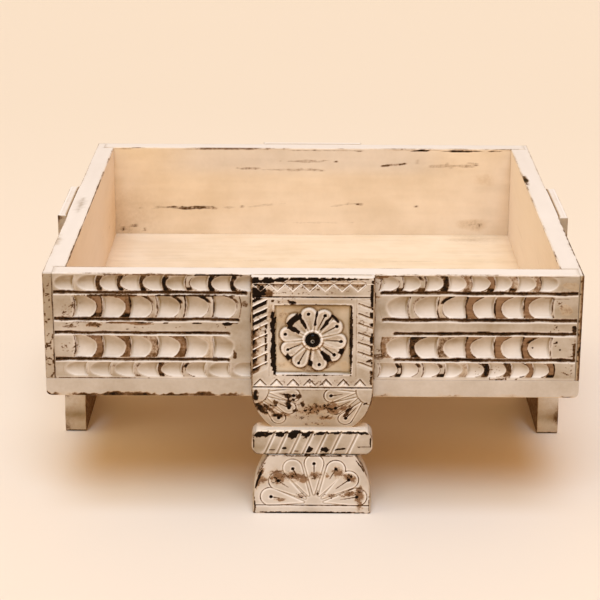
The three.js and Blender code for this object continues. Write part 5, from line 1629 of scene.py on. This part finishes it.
def make_plank(index, seed):
    """One base plank, from the left edge of the table to the right, with soft edges."""
    low, high = extent(f"base_plank_{index}")
    half, (bottom, top), width = high[0], (low[2], high[2]), high[1] - low[1]
    right = [
        (half - PLANK_CORNER * (1 - math.sin(a)), bottom + PLANK_CORNER * (1 - math.cos(a)))
        for a in quarter(PLANK_CORNER_STEPS)
    ]
    end = stations(bottom + PLANK_CORNER + PLANK_MARGIN, top - END_MARGIN, END_STEP)
    right += [(half, z) for z in end]
    reach = half - PLANK_MARGIN
    across = stations(-reach, reach, FRONT_STEP if index == 1 else PLANK_STEP)
    lower = [(x, bottom) for x in across if abs(x) < half - PLANK_CORNER - END_MARGIN]
    outline = np.array([*lower, *right, *[(x, top) for x in across[::-1]], *mirrored(right)])
    x, z = outline.T
    on_top, below, at_side = z > top - NEAR, z < bottom + 0.6, np.abs(np.abs(x) - half) < NEAR
    steps = EASE + list(stations(EASE[-1], width - EASE[-1], PLANK_STEP))[1:]
    steps += [width - step for step in EASE[-2::-1]]
    rings, wear_and_painted_light = [], []
    for step in steps:
        y = low[1] + step
        inset = quarter_inset(min(step, width - step), PLANK_ROUND)
        drawn_x, drawn_z = x - inset * np.sign(x) * at_side, z + inset * (below * 1 - on_top)
        ring = floor_wear(x, y, seed)
        ring[~on_top | (y < 0.5 - HALF)] = (0.0, 0.0, EDGE_GRIME, 0.0)
        ring[below] = UNDER_WEAR
        rings.append(np.column_stack([drawn_x, np.full(len(x), y), drawn_z]))
        wear_and_painted_light.append(ring)
    if index == 1:
        rings, wear_and_painted_light = front_edge(rings, wear_and_painted_light, outline, seed)
    data = shell_mesh(f"base_plank_{index}", rings[::-1], wear_and_painted_light[::-1], 0)
    return finish_piece(f"base_plank_{index}", data, "painted_tray")


def front_edge(rings, wear_and_painted_light, outline, seed):
    """Adds rows of points over the front face of the first plank, with the wear of its lower edge."""
    low, high = outline[:, 1].min(), outline[:, 1].max()
    middle = (low + high) / 2
    face_rings = []
    for share in FRONT_SHARES:
        places = rings[0].copy()
        places[:, 0] *= 1 - (1 - share) * FRONT_SHORTER / HALF
        places[:, 2] = middle + (rings[0][:, 2] - middle) * share
        face_rings.append(places)
    face_wear = [edge_wear(places[:, 0], places[:, 2], low, seed) for places in face_rings]
    first = edge_wear(rings[0][:, 0], rings[0][:, 2], low, seed)
    kept = [np.maximum(first * (1 - EDGE_KEPT * k), ring) for k, ring in enumerate(wear_and_painted_light[:3])]
    return face_rings + rings, face_wear + kept + wear_and_painted_light[3:]


def edge_wear(x, z, low, seed):
    """Wear along the lower front edge and at its left corner."""
    amount = np.max([share * bell_curve(x, middle, wide) for middle, wide, share in FRONT_EDGE_WEAR], 0)
    ragged = RAGGED
    for k, (spread, cell) in enumerate((RAGGED_COARSE, RAGGED_FINE)):
        ragged = ragged + spread * uneven(x, 0, cell, 1, seed + 5 + k)
    far, near = EDGE_FROM
    height = smooth_step(z - low, far * ragged, near * ragged)
    corner = np.hypot(np.abs(x) - HALF + PLANK_CORNER, z - low - PLANK_CORNER)
    corner = bell_curve(corner, PLANK_CORNER, SEAM_WIDTH)
    corner = corner * (np.abs(x) > HALF - PLANK_CORNER) * (z < low + PLANK_CORNER) * (x < 0)
    worn = np.maximum(amount * height, corner)
    return wear_rows(EDGE_STAIN * worn, EDGE_BARE * worn, EDGE_GRIME, 0.0)


# Turned pieces

STUD_SIDES, NAIL_SIDES = 48, 20
# Which radii of a turned piece carry a painted highlight ring
RING_HIGHLIGHT_RADII = 0.5, 1.5
# Profiles as radius and distance along the axis: the small ring and dimple on a stud, and a nail's head.
# Then the stud's shank and the edge of its dome, in how many parts the dome is divided, and down to
# which radius, and a nail's shank with its point.
STUD_TOP = [(1.6, 0.12), (1.45, 0.0), (1.2, 0.02), (0.95, 0.22), (0.5, 0.4), (0.12, 0.42)]
NAIL_HEAD = [(0.1, 0.0), (0.8, 0.03), (1.4, 0.12), (1.8, 0.35), (1.8, 0.75), (1.6, 0.9), (1.0, 1.0)]
STUD_SHANK, STUD_EDGE, STUD_RIM, STUD_PARTS, DOME_END = 1.5, 0.25, 0.2, 12, 1.75
NAIL_SHANK, NAIL_POINT, POINT_LENGTH = 1.0, 0.1, 3


def lathe(node, profile, sides, centre, axis, slot):
    """A turned piece. profile has a radius and a distance along the axis for each point."""
    angles = np.arange(sides) * 2 * math.pi / sides
    circle = np.column_stack([np.cos(angles), np.sin(angles), np.zeros(sides)])
    turn = np.array(Vector((0, 0, 1)).rotation_difference(Vector(axis)).to_matrix()).T
    rings = [(radius * circle + (0, 0, along)) @ turn + centre for radius, along in profile]
    wear_and_painted_light = np.zeros((len(rings), sides, 4))
    # A ring of radii marked for the stud's painted highlight
    wear_and_painted_light[:, :, 0] = [[RING_HIGHLIGHT_RADII[0] < radius < RING_HIGHLIGHT_RADII[1]] for radius, _ in profile]
    data = shell_mesh(node, rings, wear_and_painted_light, 0)
    return finish_piece(node, data, slot)


def make_stud(name):
    """A domed stud with a small ring and dimple on its top."""
    radius, tip = (STUD_HIGH[0] - STUD_LOW[0]) / 2, STUD_LOW[1]
    length = STUD_HIGH[1] - tip
    rise = LEG_FACE + RECESS["depth"] - ROSETTE_RISE - MODEL_GAP - tip
    profile = [(STUD_SHANK, length), (STUD_SHANK, rise)]
    profile += [(radius - STUD_EDGE, rise), (radius, rise - STUD_RIM)]
    for k in range(STUD_PARTS):
        angle = math.pi / 2 * (1 - k / STUD_PARTS)
        if radius * math.sin(angle) > DOME_END:
            profile.append((radius * math.sin(angle), (rise - STUD_EDGE) * (1 - math.cos(angle))))
    profile += STUD_TOP
    inward, centre = turned(np.array([[0.0, 1.0, 0.0], [0.0, tip, ROSETTE[1]]]), TURNS[name])
    return lathe(f"{name}_stud", profile[::-1], STUD_SIDES, centre, inward, "black_stud")


def make_nail(node, axis):
    """A nail with a domed head and a point. axis runs from the head to the point."""
    low, high = extent(node)
    along = int(np.argmax(np.abs(axis)))
    centre = (low + high) / 2
    centre[along] = low[along] if axis[along] > 0 else high[along]
    length = high[along] - low[along]
    profile = [*NAIL_HEAD, (NAIL_SHANK, length - POINT_LENGTH), (NAIL_POINT, length)]
    return lathe(node, profile, NAIL_SIDES, centre, axis, "nail_steel")


# Materials

def add(tree, kind, inputs=None, **settings):
    """A new shader node with its settings, and with values or links for its inputs."""
    made = tree.nodes.new(kind)
    for key, value in settings.items():
        setattr(made, key, value)
    for key, value in (inputs or {}).items():
        if isinstance(value, bpy.types.NodeSocket):
            tree.links.new(value, made.inputs[key])
        else:
            made.inputs[key].default_value = value
    return made


class Shader:
    """A material being made from nodes."""

    def __init__(self, name):
        self.material = bpy.data.materials.new(name)
        self.material.use_nodes = True
        self.tree = self.material.node_tree
        self.tree.nodes.clear()

    def sum(self, first, second):
        return add(self.tree, "ShaderNodeMath", {0: first, 1: second}, operation="ADD").outputs[0]

    def product(self, first, second):
        return add(self.tree, "ShaderNodeMath", {0: first, 1: second}, operation="MULTIPLY").outputs[0]

    def step(self, value, low, high, to_low=0.0, to_high=1.0):
        """value brought from low..high to to_low..to_high, smoothly."""
        inputs = {"Value": value, "From Min": low, "From Max": high, "To Min": to_low, "To Max": to_high}
        return add(self.tree, "ShaderNodeMapRange", inputs, interpolation_type="SMOOTHSTEP").outputs[0]

    def within(self, place, axis, inner, outer):
        """1 where a place's distance from zero along an axis is below inner, and 0 beyond outer."""
        along = add(self.tree, "ShaderNodeSeparateXYZ", {0: place}).outputs[axis]
        distance = add(self.tree, "ShaderNodeMath", {0: along}, operation="ABSOLUTE").outputs[0]
        return self.step(distance, outer, inner)

    def mix(self, factor, first, second):
        inputs = {0: factor, 6: first, 7: second}
        return add(self.tree, "ShaderNodeMix", inputs, data_type="RGBA").outputs[2]

    def painted(self):
        """The wear painted on a mesh, with the painted shade and painted highlights in it: its stain,
        bareness, grime and cream.
        """
        wear_and_painted_light = add(self.tree, "ShaderNodeAttribute", attribute_name="wear_and_painted_light").outputs
        stain, bare, grime = add(self.tree, "ShaderNodeSeparateColor", {0: wear_and_painted_light["Color"]}).outputs
        return stain, bare, grime, wear_and_painted_light["Alpha"]

    def place(self):
        """Where each point was drawn, in metres."""
        return add(self.tree, "ShaderNodeAttribute", attribute_name="place").outputs["Vector"]

    def object_place(self):
        return add(self.tree, "ShaderNodeTexCoord").outputs["Object"]

    def stretched(self, vector, scale):
        return add(self.tree, "ShaderNodeMapping", {"Vector": vector, "Scale": scale}).outputs[0]

    def noise(self, vector, scale, detail=3.0, roughness=0.55):
        inputs = {"Vector": vector, "Scale": scale, "Detail": detail, "Roughness": roughness}
        return add(self.tree, "ShaderNodeTexNoise", inputs).outputs["Fac"]

    def broken(self, field, fine, middle, fine_amount, middle_amount):
        """A painted field broken up by noise, where there is any of it."""
        shift = self.product(self.sum(fine, -0.5), fine_amount)
        wide = self.product(self.sum(middle, -0.5), middle_amount)
        return self.product(field, self.sum(self.sum(shift, wide), 1.0))

    def finish(self, relief, strength, distance, **inputs):
        heights = {"Strength": strength, "Distance": distance, "Height": relief}
        bump = add(self.tree, "ShaderNodeBump", heights).outputs[0]
        named = {key.replace("_", " ").title().replace("Ior", "IOR"): inputs[key] for key in inputs}
        shader = add(self.tree, "ShaderNodeBsdfPrincipled", {**named, "Normal": bump})
        add(self.tree, "ShaderNodeOutputMaterial", {"Surface": shader.outputs[0]})
        return self.material


# The grimy colour paints both dirt and the painted shade in hollows and at the tops of scoops
WHITE_PAINT, GRIME_AND_SHADE_PAINT = (0.87, 0.79, 0.775, 1), (0.245, 0.170, 0.094, 1)
CREAM_PAINT, CREAM_SHADE = (0.92, 0.73, 0.545, 1), (0.84, 0.64, 0.44, 1)
BROWN_WOOD, RED_WOOD = (0.25, 0.135, 0.066, 1), (0.15, 0.07, 0.032, 1)
GLAZE = (0.57, 0.40, 0.25, 1)
DARK_STAIN, BROWN_STAIN = (0.008, 0.004, 0.002, 1), (0.10, 0.046, 0.017, 1)
# Noises as scale, detail and roughness
FINE_NOISE, MIDDLE_NOISE, BROAD_NOISE = (1300, 3, 0.6), (330, 4, 0.6), (24, 4, 0.6)
GRAIN_NOISE, STREAK_NOISE = (60, 5, 0.6), (14, 3, 0.5)
# How much fine and middle noise break up bare wood and stain
BARE_BREAK, STAIN_BREAK = (1.3, 1.6), (1.0, 1.3)
# Where in a field bare wood, stain, a faint stain, a dark stain and the glaze start and are full
BARE_FROM, STAIN_FROM, FAINT_FROM = (0.28, 0.72), (0.32, 0.6), (0.1, 0.45)
DARK_FROM, GLAZE_FROM = (0.55, 0.95), (0.04, 0.3)
# The glaze's thickness from white paint to cream, and how much a faint stain and bare wood cover
GLAZE_THICKNESS, FAINT_COVER, BARE_COVER = (0.3, 1.0, 0.26, 0.5), 0.4, 0.92
# Where cream turns to its shade and how much streaks count in that, and where the wood turns brown
SHADE_FROM, STREAK_SHARE, WOOD_FROM = (0.6, 1.1), 0.6, (0.35, 0.7)
# How much the middle noise counts in the grime's clouds, what brings them round 0, and their strength
CLOUD_SHARE, CLOUD_MIDDLE, CLOUD_STRENGTH = 0.3, -0.65, 0.8
# How much lower worn places are and how much the grain and the paint's chalk stand out
PAINT_DEPTH, GRAIN_DEPTH, CHALK_DEPTH = -0.9, 0.5, 0.15
PAINT_ROUGHNESS, PAINT_SPECULAR = (0.2, 1.4, 0.6, 0.82), 0.06
# How strong a material's relief is and how high, in metres
PAINT_RELIEF, WOOD_RELIEF = (0.35, 0.0004), (0.2, 0.0003)
STEEL_RELIEF, ENAMEL_RELIEF = (0.3, 0.0002), (0.1, 0.0001)


def worn_paint(name, grain_stretch):
    """Chalky paint over wood. It is rubbed through to brown wood where bare, and black where stained."""
    made = Shader(name)
    stained, bared, grime_and_shade, creamy = made.painted()
    place = made.place()
    grain_place = made.stretched(place, grain_stretch)
    noises = FINE_NOISE, MIDDLE_NOISE, BROAD_NOISE
    fine, middle, broad = (made.noise(place, *noise) for noise in noises)
    grain, streak = (made.noise(grain_place, *noise) for noise in (GRAIN_NOISE, STREAK_NOISE))

    bare_field = made.broken(bared, fine, middle, *BARE_BREAK)
    bare = made.step(bare_field, *BARE_FROM)
    # Stain also carries a few painted shades, under hatching ridges and under petals
    stain_field = made.broken(stained, fine, middle, *STAIN_BREAK)
    stain = made.step(stain_field, *STAIN_FROM)
    faint = made.step(stain_field, *FAINT_FROM)

    shade = made.step(made.sum(broad, made.product(streak, STREAK_SHARE)), *SHADE_FROM)
    coat = made.mix(creamy, WHITE_PAINT, made.mix(shade, CREAM_PAINT, CREAM_SHADE))
    glaze = made.product(made.step(bare_field, *GLAZE_FROM), made.step(creamy, *GLAZE_THICKNESS))
    clouds = made.sum(made.sum(broad, made.product(middle, CLOUD_SHARE)), CLOUD_MIDDLE)
    # Grime here includes painted shade, and fresher paint includes painted highlights
    dirt = made.sum(grime_and_shade, made.product(made.product(grime_and_shade, clouds), CLOUD_STRENGTH))
    coat = made.mix(glaze, made.mix(dirt, coat, GRIME_AND_SHADE_PAINT), GLAZE)
    coat = made.mix(made.product(faint, FAINT_COVER), coat, BROWN_WOOD)
    wood = made.mix(made.step(grain, *WOOD_FROM), RED_WOOD, BROWN_WOOD)
    dark = made.mix(made.step(stain_field, *DARK_FROM), BROWN_STAIN, DARK_STAIN)
    colour = made.mix(stain, made.mix(made.product(bare, BARE_COVER), coat, wood), dark)

    texture = made.sum(made.product(grain, GRAIN_DEPTH), made.product(middle, CHALK_DEPTH))
    relief = made.sum(made.product(made.sum(bare, stain), PAINT_DEPTH), texture)
    return made.finish(
        relief, *PAINT_RELIEF,
        base_color=colour,
        roughness=made.step(made.sum(middle, bare), *PAINT_ROUGHNESS),
        specular_ior_level=PAINT_SPECULAR,
    )


# Bare wood: its grain's stretch, noise and range, its two browns and its roughness
WOOD_STRETCH, WOOD_NOISE, WOOD_RANGE = (1, 1, 8), (90, 5, 0.6), (0.3, 0.7)
WOOD_DARK, WOOD_LIGHT = (0.30, 0.17, 0.08, 1), (0.55, 0.36, 0.19, 1)
WOOD_ROUGHNESS = 0.2, 0.8, 0.6, 0.8
# Steel and rust: noises, where rust starts and is full, how metallic it leaves the steel, and colours
RUST_NOISE, STEEL_NOISE, RUST_FROM, RUST_METALLIC = (700, 4, 0.6), (2400, 3, 0.6), (0.42, 0.62), (0.9, 0.1)
STEEL, RUST, STEEL_ROUGHNESS = (0.23, 0.22, 0.20, 1), (0.16, 0.07, 0.03, 1), (0.3, 0.7, 0.42, 0.75)
# Black enamel: its noise and range, where its painted highlight ring shows, its colours and its
# roughness
ENAMEL_NOISE, ENAMEL_RANGE, RING_HIGHLIGHT_FROM = (500, 3, 0.5), (0.4, 0.7), (0.35, 0.6)
ENAMEL_DARK, ENAMEL_LIGHT = (0.004, 0.002, 0.001, 1), (0.010, 0.005, 0.003, 1)
RING_HIGHLIGHT_COLOUR, ENAMEL_ROUGHNESS, ENAMEL_SPECULAR = (0.30, 0.27, 0.24, 1), (0.3, 0.7, 0.10, 0.20), 0.05


def plain_wood():
    made = Shader("bare_wood")
    grain = made.noise(made.stretched(made.object_place(), WOOD_STRETCH), *WOOD_NOISE)
    return made.finish(
        grain, *WOOD_RELIEF,
        base_color=made.mix(made.step(grain, *WOOD_RANGE), WOOD_DARK, WOOD_LIGHT),
        roughness=made.step(grain, *WOOD_ROUGHNESS),
    )


def nail_steel():
    """Dull steel with brown rust."""
    made = Shader("nail_steel")
    coarse, fine = (made.noise(made.place(), *noise) for noise in (RUST_NOISE, STEEL_NOISE))
    return made.finish(
        coarse, *STEEL_RELIEF,
        base_color=made.mix(made.step(coarse, *RUST_FROM), STEEL, RUST),
        metallic=made.step(coarse, *RUST_FROM, *RUST_METALLIC),
        roughness=made.step(fine, *STEEL_ROUGHNESS),
    )


def black_enamel():
    made = Shader("black_stud")
    cloud = made.noise(made.place(), *ENAMEL_NOISE)
    # Painted highlight: a grey ring on the stud's top, broken by the cloud noise
    rubbed = made.product(made.painted()[0], made.step(cloud, *RING_HIGHLIGHT_FROM))
    enamel = made.mix(made.step(cloud, *ENAMEL_RANGE), ENAMEL_DARK, ENAMEL_LIGHT)
    return made.finish(
        cloud, *ENAMEL_RELIEF,
        base_color=made.mix(rubbed, enamel, RING_HIGHLIGHT_COLOUR),
        roughness=made.step(cloud, *ENAMEL_ROUGHNESS),
        specular_ior_level=ENAMEL_SPECULAR,
    )


MATERIALS = {
    "painted_carving": worn_paint("painted_carving", (1, 6, 6)),
    "painted_tray": worn_paint("painted_tray", (1, 9, 9)),
    "bare_wood": plain_wood(),
    "nail_steel": nail_steel(),
    "black_stud": black_enamel(),
}

SHARP_ANGLE = math.radians(38)


def put_in_scene(name, data):
    made = bpy.data.objects.new(name, data)
    bpy.context.scene.collection.objects.link(made)
    return made


def finish_piece(node, data, slot):
    """Puts a mesh into the scene as the piece that stands for its node."""
    data.polygons.foreach_set("use_smooth", [True] * len(data.polygons))
    data.set_sharp_from_angle(angle=SHARP_ANGLE)
    data.materials.append(MATERIALS[slot])
    piece = put_in_scene(f"{node}_look", data)
    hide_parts(node)
    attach(piece, "root")
    return piece


# The table

for side, seed in SEEDS.items():
    make_wall(side, seed)
    make_leg(side, seed + 500)
    make_stud(side)

for index in range(1, 5):
    make_plank(index, 70 * index)

INWARD = {"left": (1, 0, 0), "right": (-1, 0, 0)}
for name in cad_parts:
    if name.startswith("corner_nail"):
        make_nail(name, INWARD[name.split("_")[2]])
    elif name.startswith("base_nail"):
        make_nail(name, (0, 0, 1))
    elif "dowel" in name:
        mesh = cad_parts[name].data
        mesh.materials.clear()
        mesh.materials.append(MATERIALS["bare_wood"])


# Floor, light and camera

FLOOR_HALF = 9.0
# The floor's colour in front of the table, and that of the far floor behind it: painted lighter in
# front and darker behind, as painted light falloff
FLOOR_FALLOFF_COLOURS = (0.90, 0.77, 0.68, 1), (0.80, 0.68, 0.58, 1)
FLOOR_FALLOFF_SPAN = -0.45, 1.3
# The colour of the painted shadow under and in front of the table
FLOOR_SHADOW_COLOUR = (0.75, 0.58, 0.44, 1)
# The painted shadow of the table on the floor, in metres: where its colour is full and where it ends
# along x and along y, and the lighter strip along the middle
SHADOW_X, SHADOW_Y, SHADOW_STRIP = (0.15, 0.22), (0.17, 0.215), (0.02, 0.10)
FLOOR_CLOUD, FLOOR_CLOUDS, FLOOR_ROUGHNESS, FLOOR_SPECULAR = (1.5, 2, 0.5), 0.1, 0.9, 0.1
# Four wide soft lights in a dim warm room: a cool one high in front, and warm ones low in front, at the
# left and behind, each as azimuth, elevation and spread in degrees, strength and colour
COOL, WARM, PALE = (0.46, 0.73, 1.0), (1.0, 0.75, 0.25), (0.9, 1.0, 0.7)
LIGHTS = {
    "key": (0, 59, 33, 2.4, COOL),
    "low": (0, 18, 50, 0.8, WARM),
    "left": (-90, 30, 60, 0.5, PALE),
    "back": (180, 25, 60, 0.4, WARM),
}
ROOM = {"colour": (1.0, 0.66, 0.36, 1), "strength": 0.70}


def make_floor():
    made = Shader("studio_floor")
    place = made.object_place()
    cloud = made.noise(place, *FLOOR_CLOUD)
    depth = add(made.tree, "ShaderNodeSeparateXYZ", {0: place}).outputs["Y"]
    # Painted light falloff: lighter in front and darker behind, broken by clouds
    share = made.sum(made.step(depth, *FLOOR_FALLOFF_SPAN), made.product(made.sum(cloud, -0.5), FLOOR_CLOUDS))
    # Painted shadow of the table under and in front of it, lighter along a middle strip
    under = made.product(made.within(place, "X", *SHADOW_X), made.within(place, "Y", *SHADOW_Y))
    strip = made.product(-1.0, made.within(place, "Y", *SHADOW_STRIP))
    under = made.product(under, made.sum(1.0, strip))
    colour = made.mix(under, made.mix(share, *FLOOR_FALLOFF_COLOURS), FLOOR_SHADOW_COLOUR)
    surface = {"roughness": FLOOR_ROUGHNESS, "specular_ior_level": FLOOR_SPECULAR}
    made.finish(cloud, 0.0, MM, base_color=colour, **surface)
    data = bpy.data.meshes.new("studio_floor")
    corners = [(x * FLOOR_HALF, y * FLOOR_HALF, 0) for x, y in ((-1, -1), (1, -1), (1, 1), (-1, 1))]
    data.from_pydata(corners, [], [(0, 1, 2, 3)])
    data.materials.append(made.material)
    floor = put_in_scene("studio_floor", data)


def make_light():
    for name, (azimuth, elevation, spread, strength, colour) in LIGHTS.items():
        data = bpy.data.lights.new(name, "SUN")
        data.energy = strength
        data.color = colour
        data.angle = math.radians(spread)
        put_in_scene(name, data).rotation_euler = math.radians(90 - elevation), 0, math.radians(azimuth)
    world = bpy.data.worlds.new("room")
    world.use_nodes = True
    background = world.node_tree.nodes["Background"]
    background.inputs["Color"].default_value = ROOM["colour"]
    background.inputs["Strength"].default_value = ROOM["strength"]
    bpy.context.scene.world = world


# The camera that the photograph's perspective gives
CAMERA_PLACE = (-4.487, -1547.153, 618.490)
CAMERA_PITCH, CAMERA_YAW, CAMERA_ROLL = (math.radians(angle) for angle in (18.4349, -0.2148, 0.2301))
CAMERA_LENS, CAMERA_SENSOR, CAMERA_CLIP = 115.17, 36.0, (0.01, 50)


def make_camera():
    level, drop = math.cos(CAMERA_PITCH), math.sin(CAMERA_PITCH)
    forward = Vector((math.sin(CAMERA_YAW) * level, math.cos(CAMERA_YAW) * level, -drop))
    right = forward.cross(Vector((0, 0, 1))).normalized()
    up = right.cross(forward)
    c, s = math.cos(CAMERA_ROLL), math.sin(CAMERA_ROLL)
    right, up = right * c + up * s, up * c - right * s
    data = bpy.data.cameras.new("camera")
    data.lens = CAMERA_LENS
    data.sensor_width = CAMERA_SENSOR
    data.sensor_fit = "HORIZONTAL"
    data.clip_start, data.clip_end = CAMERA_CLIP
    camera = put_in_scene("camera", data)
    turn = Matrix((right, up, -forward)).transposed()
    camera.matrix_world = Matrix.Translation(Vector(CAMERA_PLACE) * MM) @ turn.to_4x4()
    bpy.context.scene.camera = camera


make_floor()
make_light()
make_camera()
bpy.context.scene.view_settings.view_transform = "Standard"
